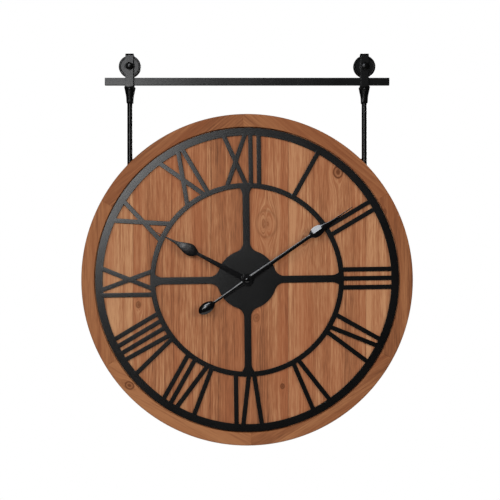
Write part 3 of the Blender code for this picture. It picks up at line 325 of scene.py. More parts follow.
def stainedFir(name, look, knots, bands=()):
    # Flat-sawn fir, planed, stained and oiled: long soft streaks of late wood, fine fibres, and knots that
    # the grain runs round. A board's own place: x across the grain, y into the board, z along the grain.
    material, tree, shader = newMaterial(name, Specular_IOR_Level=0.3)
    place = addNode(tree, "Attribute", attribute_name="boardPlace").outputs["Vector"]
    inMm = addNode(tree, "VectorMath", operation="SCALE", values={"Scale": 1000}, links={0: place})
    parts = addNode(tree, "SeparateXYZ", links={0: inMm})
    wander = streaks(tree, inMm, 55, 230, 2, 0.45)
    sway = {1: look["wander"], 2: -look["wander"] / 2}
    swing = addNode(tree, "Math", operation="MULTIPLY_ADD", values=sway, links={0: wander})
    grain = addNode(tree, "Math", operation="ADD", links={0: parts.outputs["X"], 1: swing})
    darkness = None
    for knot in knots:
        grain, shade = roundKnot(tree, grain, parts.outputs["Z"], knot)
        both = {0: darkness, 1: shade}
        darkness = addNode(tree, "Math", operation="MAXIMUM", links=both) if darkness else shade
    across = addNode(tree, "CombineXYZ", links={0: grain, 1: parts.outputs["Y"], 2: parts.outputs["Z"]})
    broad = streaks(tree, across, look["streakWidth"], 300, 3, 0.55)
    rings = streaks(tree, across, look["ringWidth"], 240, 3, 0.65)
    fibres = streaks(tree, across, 1.6, 24, 2, 0.6)
    warmth = streaks(tree, across, 46, 420, 2, 0.5)
    tone = addNode(tree, "Attribute", attribute_name="boardTone").outputs["Fac"]
    for noise, share in zip((broad, rings, fibres), look["shares"]):
        tone = addNode(tree, "Math", operation="MULTIPLY_ADD", values={1: share}, links={0: noise, 2: tone})
    for middle, half, rise in bands:  # a paler band of grain: rise at its middle, none beyond its half width
        off = addNode(tree, "Math", operation="SUBTRACT", values={1: middle}, links={0: parts.outputs["X"]})
        off = addNode(tree, "Math", operation="ABSOLUTE", links={0: off})
        paler = addNode(
            tree, "MapRange", interpolation_type="SMOOTHSTEP",
            values={"From Min": 0, "From Max": half, "To Min": rise, "To Max": 0}, links={"Value": off},
        )
        tone = addNode(tree, "Math", operation="ADD", links={0: tone, 1: paler})
    mean = sum(look["shares"]) / 2
    limits = {"From Min": mean - look["spread"], "From Max": mean + look["spread"]}
    lightness = addNode(tree, "MapRange", values=limits, links={"Value": tone})
    places = {"dark": 0, "light": 1, "middle": 0.5}
    stops = [(at, linearColour(look[shade])) for shade, at in places.items()]
    colour = addNode(tree, "ValToRGB", links={0: lightness}, stops=stops)
    limits = {"From Min": 0.42, "From Max": 0.66, "To Min": 0, "To Max": 0.5}
    warmShare = addNode(tree, "MapRange", values=limits, links={"Value": warmth})
    warm, knotColour = {7: linearColour(look["warm"])}, {7: linearColour(knotLook["colour"])}
    tinted = addNode(tree, "Mix", data_type="RGBA", values=warm, links={0: warmShare, 6: colour}).outputs[2]
    knotted = addNode(
        tree, "Mix", data_type="RGBA", values=knotColour, links={0: darkness, 6: tinted}
    ).outputs[2]
    limits = {"To Min": look["roughness"] - 0.08, "To Max": look["roughness"] + 0.08}
    gloss = addNode(tree, "MapRange", values=limits, links={"Value": fibres})
    relief = addNode(tree, "Math", operation="MULTIPLY_ADD", values={1: 0.6}, links={0: rings, 2: fibres})
    bump = addNode(tree, "Bump", values={"Strength": 0.35, "Distance": 0.3 * mm}, links={"Height": relief})
    linkInto(tree, shader, {"Base Color": knotted, "Roughness": gloss, "Normal": bump})
    return material


def coatedMetal(name, colour, roughness, peel, peelHeight, **sockets):
    # A painted skin over steel: its even colour carries a faint orange peel, and wear is too slight to show.
    material, tree, shader = newMaterial(name, Base_Color=linearColour(colour), **sockets)
    at = addNode(tree, "TexCoord").outputs["Object"]
    grain = {"Scale": 1000 / peel, "Detail": 2, "Roughness": 0.5}
    cells = addNode(tree, "TexNoise", values=grain, links={"Vector": at})
    clouds = addNode(tree, "TexNoise", values={"Scale": 14, "Detail": 3}, links={"Vector": at})
    limits = {"To Min": roughness - 0.05, "To Max": roughness + 0.05}
    gloss = addNode(tree, "MapRange", values=limits, links={"Value": clouds})
    depth = {"Strength": 0.5, "Distance": peelHeight * mm}
    bump = addNode(tree, "Bump", values=depth, links={"Height": cells})
    linkInto(tree, shader, {"Roughness": gloss, "Normal": bump})
    return material


def bareMetal(name, colour, deep, roughness, lines):
    # Turned or plated metal: fine lines, so many to the metre on each axis, vary its gloss and its colour.
    material, tree, shader = newMaterial(name, Metallic=1.0)
    at = addNode(tree, "TexCoord").outputs["Object"]
    stretched = addNode(tree, "VectorMath", operation="MULTIPLY", values={1: lines}, links={0: at})
    grain = {"Scale": 1, "Detail": 3, "Roughness": 0.6}
    marks = addNode(tree, "TexNoise", values=grain, links={"Vector": stretched})
    shades = {6: linearColour(deep), 7: linearColour(colour)}
    shade = addNode(tree, "Mix", data_type="RGBA", values=shades, links={0: marks}).outputs[2]
    limits = {"To Min": roughness - 0.08, "To Max": roughness + 0.12}
    gloss = addNode(tree, "MapRange", values=limits, links={"Value": marks})
    linkInto(tree, shader, {"Base Color": shade, "Roughness": gloss})
    return material


def mouldedPolymer(name, colours, roughness, grain, grainHeight, **sockets):
    # Injection-moulded or printed plastic and rubber: an even colour with the tool's fine spark-eroded grain.
    material, tree, shader = newMaterial(name, **sockets)
    at = addNode(tree, "TexCoord").outputs["Object"]
    specks = addNode(
        tree, "TexNoise", values={"Scale": 1000 / grain, "Detail": 3, "Roughness": 0.6}, links={"Vector": at}
    )
    shades = {6: linearColour(colours[0]), 7: linearColour(colours[1])}
    shade = addNode(tree, "Mix", data_type="RGBA", values=shades, links={0: specks}).outputs[2]
    limits = {"To Min": roughness - 0.06, "To Max": roughness + 0.06}
    gloss = addNode(tree, "MapRange", values=limits, links={"Value": specks})
    depth = {"Strength": 0.6, "Distance": grainHeight * mm}
    bump = addNode(tree, "Bump", values=depth, links={"Height": specks})
    linkInto(tree, shader, {"Base Color": shade, "Roughness": gloss, "Normal": bump})
    return material


# by the slot that each fills; peel and grain sizes in millimetres
finishes = {
    # powder coat on cut sheet steel: satin, so a window's glow spreads softly over it
    "dial_black": coatedMetal("satinPowderCoatDial", "#050505", 0.25, 1.6, 0.001, IOR=1.5),
    # powder coat on bar and strap: the same, a little duller
    "black_steel": coatedMetal(
        "satinPowderCoatHardware", "#050505", 0.25, 1.4, 0.001, IOR=1.5, Specular_IOR_Level=0.37
    ),
    # stoved enamel on pressed hands: deep black with hard bright reflections
    "hand_black": coatedMetal("glossEnamelHands", "#060607", 0.16, 3.0, 0.002, IOR=1.52),
    # bright zinc plate: pale grey with a faint drawn grain
    "zinc_steel": bareMetal("brightZincPlate", "#C3C6C8", "#9FA3A6", 0.3, (300, 900, 300)),
    # turned brass: warm yellow with fine lathe lines
    "brass": bareMetal("turnedBrass", "#CFAE66", "#A9853F", 0.26, (700, 2600, 700)),
    # enamelled copper wire, wound close: orange with a line for each turn
    "copper_wire": bareMetal("enamelledCopperWinding", "#B8683A", "#7E3F1E", 0.3, (5200, 200, 200)),
    # moulded ABS: near-black, low sheen, fine texture
    "black_plastic": mouldedPolymer("mouldedBlackAbs", ("#17181A", "#1F2022"), 0.42, 0.5, 0.02, IOR=1.53),
    # moulded acetal: milky white, slightly waxy
    "white_plastic": mouldedPolymer("mouldedWhiteAcetal", ("#E6E3DA", "#D9D6CC"), 0.34, 0.8, 0.01, IOR=1.48),
    # nitrile rubber: dull black
    "rubber": mouldedPolymer("blackNitrileRubber", ("#151515", "#1D1D1D"), 0.78, 0.6, 0.02, IOR=1.52),
    # solder mask over fibreglass: glossy green
    "board_green": mouldedPolymer("solderMaskBoard", ("#1F5A2E", "#2B6E3B"), 0.3, 1.2, 0.01, IOR=1.55),
    # printed shrink sleeve on a battery: smooth dark film
    "battery_wrap": mouldedPolymer("batteryShrinkSleeve", ("#2B2E33", "#33363B"), 0.28, 2.0, 0.005, IOR=1.5),
}
print("materials ready")

arborLow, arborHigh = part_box("minute_arbor")
headX, headZ = (arborLow.x + arborHigh.x) / 2, (arborLow.z + arborHigh.z) / 2
shaft = (headX, 0, headZ)


# wood: five upright boards inside six mitred rim segments

# a tone lightens or darkens a whole board; a knot is its board, its x and z from the shaft in millimetres,
# its size, how dark it is and its bark ring's radius
boardLook = {
    "arris": 0.25 * mm, "rimGap": 0.05 * mm, "across": 14, "up": 22, "shift": (0.337, 0.0, 0.911),
    "tones": (0.11, 0.01, -0.02, 0.03, 0.12),
    "knots": [
        (2, 37, 103, 9, 0.28, 19), (3, 167, 198, 6, 0.95, 8), (1, -200, -46, 4, 0.7, 4),
        (2, 65.5, -196, 2.4, 0.9, 3), (2, 16, -70, 4, 0.5, 5), (3, 107.5, 72, 5, 0.4, 6),
    ],
    # a paler band up the fourth board: from the shaft and half width in mm, and how much paler
    "paleBand": (86, 24, 0.09),
}


def boardShell(left, right, radius, front, back):
    # A strip of a disc: x = R sin a and z = t R cos a, for a between the strip's sides and t from -1 to 1.
    # Its rim is the same border at a few (inset, depth) stages, which round the arris at each face.
    across, up = boardLook["across"], boardLook["up"]
    t = np.linspace(-1, 1, up + 1)
    stages = roundedEdge(boardLook["arris"], front, back)

    def grid(inset, y):
        r = radius - inset
        ends = [max(-1.0, min(1.0, side / r)) for side in (left + inset, right - inset)]
        a = np.linspace(math.asin(ends[0]), math.asin(ends[1]), across + 1)[:, None]
        x, z = r * np.sin(a) + 0 * t, r * np.cos(a) * t
        return np.stack([headX + x, np.full_like(x, y), headZ + z], axis=-1).reshape(-1, 3)

    index = np.arange((across + 1) * (up + 1)).reshape(across + 1, up + 1)
    border = np.concatenate([index[0, :-1], index[:-1, -1], index[-1, :0:-1], index[:0:-1, 0]])
    points = [grid(*stages[0]), grid(*stages[-1])] + [grid(*stage)[border] for stage in stages]
    faces = []
    for face in (0, 1):
        faces += [[k + face * index.size for k in corners] for corners in gridFaces(across + 1, up + 1)]
    around = gridFaces(len(stages), len(border), False, True)
    faces += [[k + 2 * index.size for k in corners] for corners in around]
    return np.concatenate(points), faces


def boardFrame(number, turn):
    # Returns the function from world points to a board's own place: across the grain, into the board and
    # along the grain.
    shift = np.array(boardLook["shift"]) * (number + 1)
    across = np.array([math.sin(turn), 0, math.cos(turn)])
    along = np.array([math.cos(turn), 0, -math.sin(turn)])
    axes = np.stack([across, (0, 1, 0), along], axis=1)
    return lambda points: (np.asarray(points) - (headX, 0, headZ)) @ axes + shift


def knotsIn(frames, spots):
    # Knots given from the shaft become knots in the boards' own places, in millimetres.
    found = []
    for board, x, z, *rest in spots:
        place = frames[board]([(headX + x * mm, 0, headZ + z * mm)])[0] / mm
        found.append((place[0], place[2], *rest))
    return found


planks = [f"plank_{i + 1}" for i in range(5)]
rims = [f"rim_segment_{i + 1}" for i in range(6)]
rimBore = np.hypot(*(cadPoints(*rims) - (headX, 0, headZ))[:, ::2].T).min()
plankFrames = [boardFrame(i, math.pi / 2) for i in range(5)]
bandX, bandHalf, bandRise = boardLook["paleBand"]
bandPlace = plankFrames[3]([(headX + bandX * mm, 0, headZ)])[0][0] / mm
boardKnots = knotsIn(plankFrames, boardLook["knots"])
bands = [(bandPlace, bandHalf, bandRise)]
finishes["plank_fir"] = stainedFir("oiledFirBoards", woodLook["boards"], boardKnots, bands)
for i, name in enumerate(planks):
    pieceName = f"firBoard{i + 1}"
    if i == 2:  # the middle board has the bushing's hole, so it keeps its CAD shape
        board = softenedCopy(pieceName, "clock_head", "plank_fir", name, boardLook["arris"])
    else:
        low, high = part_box(name)
        shell = boardShell(low.x - headX, high.x - headX, rimBore - boardLook["rimGap"], low.y, high.y)
        board = makePiece(pieceName, [shell], "clock_head", "plank_fir", name, 30)
    setBoardPlace(board.data, plankFrames[i], boardLook["tones"][i])
print("boards laid")

rimLook = {
    "outerRound": 3.6 * mm, "innerArris": 1.2 * mm, "backArris": 0.8 * mm, "endArris": 0.35 * mm,
    "jointGap": 0.02 * mm, "steps": 40, "tones": (0.08, 0.03, 0.07, 0.15, 0.11, 0.0),
    "knots": [(3, -216, -194, 4.5, 0.9, 6), (1, 252, 124, 3, 0.5, 4)],
}


def rimShell(start, end, inner, outer, front, back):
    # A rounded section (radius, depth) carried round the arc; at each end it draws in by the end's arris.
    section = easedCorners(
        [(inner, back), (inner, front), (outer, front), (outer, back)],
        [rimLook["backArris"], rimLook["innerArris"], rimLook["outerRound"], rimLook["backArris"]],
        steps=6,
    )
    middle = section.mean(axis=0)
    arris = rimLook["endArris"]
    turns = np.linspace(start + arris / outer, end - arris / outer, rimLook["steps"] + 1)
    turns = np.concatenate([[start], turns, [end]])
    inset = np.zeros(len(turns))
    inset[[0, -1]] = arris
    drawn = section[None] - np.sign(section - middle)[None] * inset[:, None, None]
    x = headX + drawn[..., 0] * np.sin(turns)[:, None]
    z = headZ + drawn[..., 0] * np.cos(turns)[:, None]
    return loftedShell(np.stack([x, drawn[..., 1], z], axis=-1))


rimOuter = np.ptp(cadPoints(*rims)[:, 0]) / 2
rimFrames, rimSpans = [], []
for i, name in enumerate(rims):
    offset = (cadPoints(name) - (headX, 0, headZ))[:, ::2]
    facing = math.atan2(*offset.mean(axis=0))
    turns = np.arctan2(offset[:, 0], offset[:, 1]) - facing
    turns = (turns + math.pi) % (2 * math.pi) - math.pi
    rimSpans.append((facing + turns.min(), facing + turns.max()))
    rimFrames.append(boardFrame(i + 7, facing))
finishes["rim_fir"] = stainedFir("oiledFirRim", woodLook["rim"], knotsIn(rimFrames, rimLook["knots"]))
for i, name in enumerate(rims):  # each arc reaches half way over the gap to its neighbour
    low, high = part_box(name)
    start, end = rimSpans[i]
    nextGap = (rimSpans[(i + 1) % len(rims)][0] - end) % (2 * math.pi)
    reach = (nextGap - rimLook["jointGap"] / rimOuter) / 2
    shell = rimShell(start - reach, end + reach, rimBore, rimOuter, low.y, high.y)
    arc = makePiece(f"rimArc{i + 1}", [shell], "clock_head", "rim_fir", name, 30)
    setBoardPlace(arc.data, rimFrames[i], rimLook["tones"][i])
print("rim closed")


# the cut steel dial

# lengths in millimetres
dialLook = {
    "turn": -0.8, "outer": (279.5, 265.5), "inner": (178.3, 169.0), "hub": 55, "spoke": 12.9, "fillet": 18,
    "flare": (11.8, 14), "flareCurve": 2.2, "flareLap": 4, "stroke": 8.2, "shaftHole": 4.5, "edge": 0.35,
    "weld": 0.05,
    # each stroke's sideways place at the inner ring and at the outer ring
    "numerals": {
        12: [(-0.9, -39.5), (-32.2, -0.9), (9.7, 9.7), (24.8, 24.8)],
        1: [(0, 0)],
        2: [(-8.1, -8.1), (8.1, 8.1)],
        3: [(-16.5, -16.5), (0, 0), (16.5, 16.5)],
        4: [(-23.7, -23.7), (0.7, -10.7), (12.1, 23.4)],
        5: [(-5.8, -17.3), (5.8, 17.3)],
        6: [(-11, -23.6), (-0.6, 10.3), (23, 23)],
        7: [(-23.5, -36.3), (-13.4, -1.7), (11.8, 11.8), (27.1, 27.1)],
        8: [(-23.7, -44.7), (-14.6, -12), (1.8, 1.8), (16.2, 16.2), (30.5, 30.5)],
        9: [(-25, -25), (16.6, -14.6), (-12.4, 23.7)],
        10: [(18.6, -23.6), (-13.4, 14.5)],
        11: [(11, -28), (-22.4, 11), (20.4, 20.4)],
    },
}


def clockArc(radius, start, end, steps, centre=(0, 0)):
    # Points at angles clockwise from the top: (R sin a, R cos a).
    a = np.radians(np.linspace(start, end, steps + 1))
    return np.stack([centre[0] + radius * np.sin(a), centre[1] + radius * np.cos(a)], axis=1)


def clockTurned(points, degrees):
    c, s = math.cos(math.radians(degrees)), math.sin(math.radians(degrees))
    return np.asarray(points, float) @ np.array([[c, -s], [s, c]])


def dialOutlines(look):
    # The two rings in short pieces, the hub, a slanted bar per stroke, and four spokes: rounded into the hub
    # at the foot, and at the head half + (flare - half) t^2.2 wide on each side.
    outlines = []
    for (outer, inner), steps in ((look["outer"], 240), (look["inner"], 180)):
        rimPoints, borePoints = clockArc(outer, 0, 360, steps), clockArc(inner, 0, 360, steps)
        for i in range(steps):
            outlines.append([borePoints[i], rimPoints[i], rimPoints[i + 1], borePoints[i + 1]])
    outlines.append(clockArc(look["hub"], 0, 360, 96)[:-1])
    low, high = sum(look["inner"]) / 2, sum(look["outer"]) / 2
    near, far = look["inner"][0], look["outer"][1]
    for hour, strokes in look["numerals"].items():
        for a, b in strokes:
            lean = (b - a) / (far - near)
            foot = np.array([a - lean * (near - low), low])
            head = np.array([b + lean * (high - far), high])
            along = (head - foot) / np.linalg.norm(head - foot)
            side = np.array([-along[1], along[0]]) * look["stroke"] / 2
            bar = [foot + side, foot - side, head - side, head + side]
            outlines.append(clockTurned(bar, 30 * hour + look["turn"]))
    half, fillet, (flareHalf, flareLong) = look["spoke"] / 2, look["fillet"], look["flare"]
    atX = half + fillet
    atR = math.sqrt((look["hub"] + fillet) ** 2 - atX**2)
    meet = math.degrees(math.atan2(atX, atR))
    corner = clockArc(fillet, 270, 180 + meet, 12, (atX, atR))
    t = np.linspace(0, 1, 9)
    widths = half + (flareHalf - half) * t ** look["flareCurve"]
    flare = np.stack([widths, look["inner"][1] - flareLong + flareLong * t], axis=1)
    side = np.concatenate([corner[::-1], flare, [(flareHalf, look["inner"][1] + look["flareLap"])]])
    spoke = np.concatenate([side, side[::-1] * (-1, 1)])
    outlines += [clockTurned(spoke, 90 * quarter + look["turn"]) for quarter in range(4)]
    return outlines


def sheetOf(outlines, holes):
    # One flat sheet of all the outlines together less the holes: its points and its triangles, anticlockwise.
    points, loops = [], []
    for outline in (*outlines, *holes):
        ring = np.asarray(outline, float) * mm
        area = np.sum(ring[:, 0] * np.roll(ring[:, 1], -1) - np.roll(ring[:, 0], -1) * ring[:, 1])
        ring = ring if area > 0 else ring[::-1]
        loops.append(list(range(len(points), len(points) + len(ring))))
        points.extend(Vector(point) for point in ring)
    filled = delaunay_2d_cdt(points, [], loops, 1, dialLook["weld"] * mm)
    kept = [face for face, owners in zip(filled[2], filled[5]) if owners and max(owners) < len(outlines)]
    mesh = bpy.data.meshes.new("sheet")
    mesh.from_pydata([(x, z, 0) for x, z in filled[0]], [], kept)
    form = bmesh.new()
    form.from_mesh(mesh)
    bpy.data.meshes.remove(mesh)
    bmesh.ops.delete(form, geom=[vert for vert in form.verts if not vert.link_faces], context="VERTS")
    bmesh.ops.remove_doubles(form, verts=form.verts, dist=1e-5)
    bmesh.ops.triangulate(form, faces=form.faces)
    form.verts.ensure_lookup_table()
    flat = np.array([vert.co[:2] for vert in form.verts])
    triangles = np.array([[vert.index for vert in face.verts] for face in form.faces])
    form.free()
    a, b, c = (flat[triangles[:, k]] for k in range(3))
    turn = (b[:, 0] - a[:, 0]) * (c[:, 1] - a[:, 1]) - (b[:, 1] - a[:, 1]) * (c[:, 0] - a[:, 0])
    triangles[turn < 0] = triangles[turn < 0][:, ::-1]
    return flat, triangles


def cutShell(outlines, holes, front, back, edge):
    # The sheet given thickness with its edge rounded: at each (inset, depth) stage a border point has moved
    # in by the inset along its mitre, (n1 + n2) / (1 + n1.n2).
    flat, triangles = sheetOf(outlines, holes)
    sides = np.concatenate([triangles[:, [0, 1]], triangles[:, [1, 2]], triangles[:, [2, 0]]])
    count = len(flat)
    forward, reverse = sides[:, 0] * count + sides[:, 1], sides[:, 1] * count + sides[:, 0]
    sides = sides[~np.isin(forward, reverse)]
    along = flat[sides[:, 1]] - flat[sides[:, 0]]
    along /= np.linalg.norm(along, axis=1, keepdims=True)
    outward = np.stack([along[:, 1], -along[:, 0]], axis=1)
    total = np.zeros_like(flat)
    np.add.at(total, sides[:, 0], outward)
    np.add.at(total, sides[:, 1], outward)
    mitre = total / np.maximum(0.5, (total**2).sum(axis=1, keepdims=True) / 2)
    stages = roundedEdge(edge, front, back)
    points = []
    for inset, y in stages:
        drawn = flat - mitre * inset
        points.append(np.stack([headX + drawn[:, 0], np.full(count, y), headZ + drawn[:, 1]], axis=1))
    faces = triangles.tolist() + (triangles[:, ::-1] + (len(stages) - 1) * count).tolist()
    for k in range(len(stages) - 1):
        a, b = sides.T + k * count
        faces += np.stack([b, a, a + count, b + count], axis=1).tolist()
    points = np.concatenate(points)
    used = np.unique(np.concatenate([np.ravel(face) for face in faces]))
    place = np.full(len(points), -1)
    place[used] = np.arange(len(used))
    return points[used], [[int(place[k]) for k in face] for face in faces]


low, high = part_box("dial_plate")
shaftHole = clockArc(dialLook["shaftHole"], 0, 360, 48)[:-1]
dialShell = cutShell(dialOutlines(dialLook), [shaftHole], low.y, high.y, dialLook["edge"] * mm)
makePiece("cutSteelDial", [dialShell], "clock_head", "dial_black", "dial_plate", 50)
print("dial cut")


# hands

# lengths in millimetres and angles in degrees; a blade is its turn from the hand's, the slope of its facets,
# its crown and the (distance from the shaft, half width) stations of its outline
handLook = {
    "sheet": 0.35, "stations": 160, "bossRound": 0.5, "bossProud": 0.25,
    # where a spade's half width starts, over what rise it is full, and how a stem's slope and crown differ
    "spadeFrom": 4.5, "spadeOver": 4, "stemShare": 0.55, "stemCrown": 3,
    "hands": {
        "hour": {
            "turn": 297.7, "boss": 11.5, "bore": 2.8,
            "blades": [
                (0, 2.5, 3, [
                    (6, 5.4), (60, 4.2), (101, 3.1), (107, 6.6), (113, 10), (119, 11.3), (126, 10),
                    (136, 6.4), (150, 2.6), (165, 1.5), (188, 0.5),
                ]),
            ],
        },
        "minute": {
            "turn": 55.3, "boss": 9.5, "bore": 1.9,
            "blades": [
                (0, 15, 1, [
                    (5, 4.6), (40, 3.9), (138, 3.2), (143, 5.6), (149, 9), (156, 10), (163, 8.8), (174, 5),
                    (186, 2.4), (205, 1.3), (235, 0.5),
                ]),
                (180, 16, 2.2, [
                    (5, 4.2), (30, 2.7), (72, 2.4), (77, 6), (84, 9.2), (91, 10.2), (98, 9), (104, 5.6),
                    (107, 1.2),
                ]),
            ],
        },
    },
}


def bladeShell(outline, degrees, back, facet, crown):
    # Across the blade x = w t, and the front rises by w tan(slope) (1 - |t|^p). A wide spade takes the
    # crown's p, where 1 is flat facets; a narrow stem is rounded, with the stem's p, and lower.
    look = handLook
    reach, half = smoothThrough(outline, look["stations"])
    t = np.array([-1, -0.92, -0.8, -0.6, -0.35, 0, 0.35, 0.6, 0.8, 0.92, 1])
    wide = np.clip((half - look["spadeFrom"]) / look["spadeOver"], 0, 1)[:, None]
    wide = wide * wide * (3 - 2 * wide)
    slope = np.tan(np.radians(facet * (look["stemShare"] + (1 - look["stemShare"]) * wide)))
    power = look["stemCrown"] - (look["stemCrown"] - crown) * wide
    rise = look["sheet"] + half[:, None] * slope * (1 - np.abs(t) ** power)
    depth = np.concatenate([rise, np.zeros((len(reach), 2))], axis=1)
    sideways = half[:, None] * np.concatenate([t, t[[-1, 0]]])
    loops = np.stack([sideways, reach[:, None] + 0 * sideways], axis=-1) * mm
    flat = clockTurned(loops.reshape(-1, 2), degrees).reshape(loops.shape)
    return loftedShell(np.stack([headX + flat[..., 0], back - depth * mm, headZ + flat[..., 1]], axis=-1))


for name, hand in handLook["hands"].items():
    low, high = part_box(f"{name}_hand")
    shells = []
    for turn, facet, crown, outline in hand["blades"]:
        shells.append(bladeShell(outline, hand["turn"] + turn, high.y, facet, crown))
    front, ease = low.y - handLook["bossProud"] * mm, np.array([0.2, handLook["bossRound"], 0.1, 0.1]) * mm
    boss = ringShell(shaft, hand["bore"] * mm, hand["boss"] * mm, front, high.y, ease, 96, 4)
    makePiece(f"{name}Hand", shells + [boss], f"{name}_work", "hand_black", f"{name}_hand", 12)

capNutLook = {"domeShare": 0.55, "bore": 1.9 * mm, "boreDepth": 2 * mm}
low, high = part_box("hand_cap_nut")
domeHeight, radius = capNutLook["domeShare"] * (high.y - low.y), (high.x - low.x) / 2
turns = np.linspace(0, math.pi / 2, 14)
profile = [(radius * math.sin(a), low.y + domeHeight * (1 - math.cos(a))) for a in turns]
bore, boreEnd = capNutLook["bore"], high.y - capNutLook["boreDepth"]
profile += [(radius, high.y), (bore, high.y), (bore, boreEnd), (0, boreEnd)]
makePiece("handCapNut", [turnedShell(profile, shaft)], "minute_work", "hand_black", "hand_cap_nut")
print("hands set")


# rail, hangers, rollers and rods: a hanger's shapes each take the roller's centre and their CAD node's box


def barShell(low, high, ease):
    # A (y, z) rectangle with its corners eased, carried along x and drawn in by the ease at both ends.
    section = easedCorners([(low.y, low.z), (high.y, low.z), (high.y, high.z), (low.y, high.z)], ease)
    x = np.array([low.x, low.x + ease * 0.3, low.x + ease])
    x = np.concatenate([x, (low.x + high.x - x)[::-1]])[:, None]
    inset = ease * np.array([0.6, 0.2, 0, 0, 0.2, 0.6])
    drawn = section[None] - np.sign(section - section.mean(axis=0))[None] * inset[:, None, None]
    return loftedShell(np.stack([x + 0 * drawn[..., 0], drawn[..., 0], drawn[..., 1]], axis=-1))


railLook = {"ease": 0.9 * mm}
railLow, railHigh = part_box("rail_bar")
railY = (railLow.y + railHigh.y) / 2
makePiece("railBar", [barShell(railLow, railHigh, railLook["ease"])], "rail", "black_steel", "rail_bar")

# lengths in millimetres
rodLook = {
    "radius": 4.9, "ease": 0.6,
    # an eye's radius, half thickness and bore
    "topEye": (6.5, 5, 2.8), "footEye": (7, 2.5, 3.3),
    # (place from the eye, half width, half depth)
    "fromTop": [(-3.6, 4.6, 4.5), (-6, 4.9, 4.9), (-14, 4.9, 4.9)],
    "fromFoot": [(24, 4.9, 4.9), (15, 4.9, 4.2), (9, 4.7, 2.6), (4.6, 4.3, 2.4)],
}
strapLook = {
    "thickness": 2.5, "width": 15, "edge": 0.5, "endThin": 0.7, "cornerRadius": 4, "sideRound": 0.08,
    "fold": 2.6, "foldOver": 5, "rodClearance": 0.4, "reach": 10.75, "tipReach": 6.85, "bend": -12,
    "bendLap": 6,
    # (drop below the bend, width)
    "skirt": [(-1.5, 15), (0, 19.4), (8, 17), (20, 12.6), (31, 11.4)],
}


def strapShells(centre, low, high):
    # A strip's section, (sideways s, through), carried down one leg, over the roller and down the other.
    # Below the bend its sides fold back by fold s^2, as far as the rod leaves room.
    look = strapLook
    reach, radius, wide, t = look["reach"], look["cornerRadius"], look["width"] / 2, look["thickness"] / 2
    slant = (reach - look["tipReach"]) / look["skirt"][-1][0]
    drops, widths = smoothThrough(look["skirt"], 16)
    leg = [(w / 2, slant * max(0, d) - reach, look["bend"] - d) for d, w in zip(drops[::-1], widths[::-1])]
    leg.append((wide, -reach, look["bend"] + look["bendLap"]))
    middle = high.z / mm - t
    for a in np.radians(np.linspace(0, 90, 9)):
        leg.append((wide, -reach + radius * (1 - math.cos(a)), middle - radius * (1 - math.sin(a))))
    path = np.array(leg + [(w, -y, z) for w, y, z in leg[::-1]])
    along = np.gradient(path[:, 1:], axis=0)
    along /= np.linalg.norm(along, axis=1, keepdims=True)
    normal = np.stack([-along[:, 1], along[:, 0]], axis=1)
    flat = [(s, -t) for s in np.linspace(-1, 1, 7)]
    s, y = easedCorners(flat + [(-s, t) for s, _ in flat], look["sideRound"], steps=2).T
    ends = np.ones((len(path), 1))
    ends[[0, -1]] = 1 - look["edge"] / path[0, 0]
    sideways = s * path[:, :1] * ends
    skirted = np.clip((look["bend"] - path[:, 2:]) / look["foldOver"], 0, 1)
    room = np.abs(path[:, 1:2]) - t - rodLook["radius"] - look["rodClearance"]
    fold = np.minimum(look["fold"], room) * skirted * s**2
    through = np.clip(y, -t, t) * np.where(ends < 1, look["endThin"], 1) - fold
    place = path[:, None, 1:] + normal[:, None] * through[..., None]
    loops = np.stack([centre[0] / mm + sideways, railY / mm + place[..., 0], place[..., 1]], axis=-1)
    return [loftedShell(loops * mm)]


rollerLook = {
    "bore": 4.3 * mm, "hub": 8.5 * mm, "dish": 0.8 * mm, "rimBand": 3.0 * mm, "shoulder": 1.5 * mm,
    "ease": 0.35 * mm,
}


def rollerShells(centre, low, high):
    # (radius, depth) over one face, mirrored to the other: the hub, a dished web, the band and its shoulder.
    look, radius = rollerLook, (high.z - low.z) / 2
    hub, dish, band, shoulder = look["hub"], look["dish"], radius - look["rimBand"], look["shoulder"]
    face = [(look["bore"], 0), (hub, 0), (hub + dish, dish), (band - dish, dish), (band, 0)]
    face += [(radius - shoulder, 0), (radius, shoulder)]
    profile = easedCorners(bothSides(face, low.y, high.y), look["ease"], steps=3)
    return [turnedShell(profile, centre, 96, ring=True)]


def hexShell(stages, centre, flats, turn, steps=72, ring=False):
    # Stages of (limit, y): at angle a from a flat's middle the radius is flats / 2 / cos a, but no more than
    # the limit. A ring's last stage joins its first, which leaves a bore.
    stages = np.asarray(stages, float)
    a = np.linspace(0, 2 * math.pi, steps, endpoint=False)
    fromFlat = (a + math.pi / 6) % (math.pi / 3) - math.pi / 6
    radius = np.minimum(stages[:, :1], flats / 2 / np.cos(fromFlat))
    a = a + math.radians(turn)
    y = stages[:, 1:] + 0 * a
    loops = np.stack([centre[0] + radius * np.cos(a), y, centre[2] + radius * np.sin(a)], axis=-1)
    if ring:
        return loops.reshape(-1, 3), gridFaces(len(stages), steps, True, True)
    return loftedShell(loops)


boltLook = {
    "turn": 4, "across": 13 * mm, "head": 5.3 * mm, "dome": 1.5 * mm, "underArris": 0.3 * mm, "shank": 4 * mm,
    "tipArris": 0.6 * mm,
}


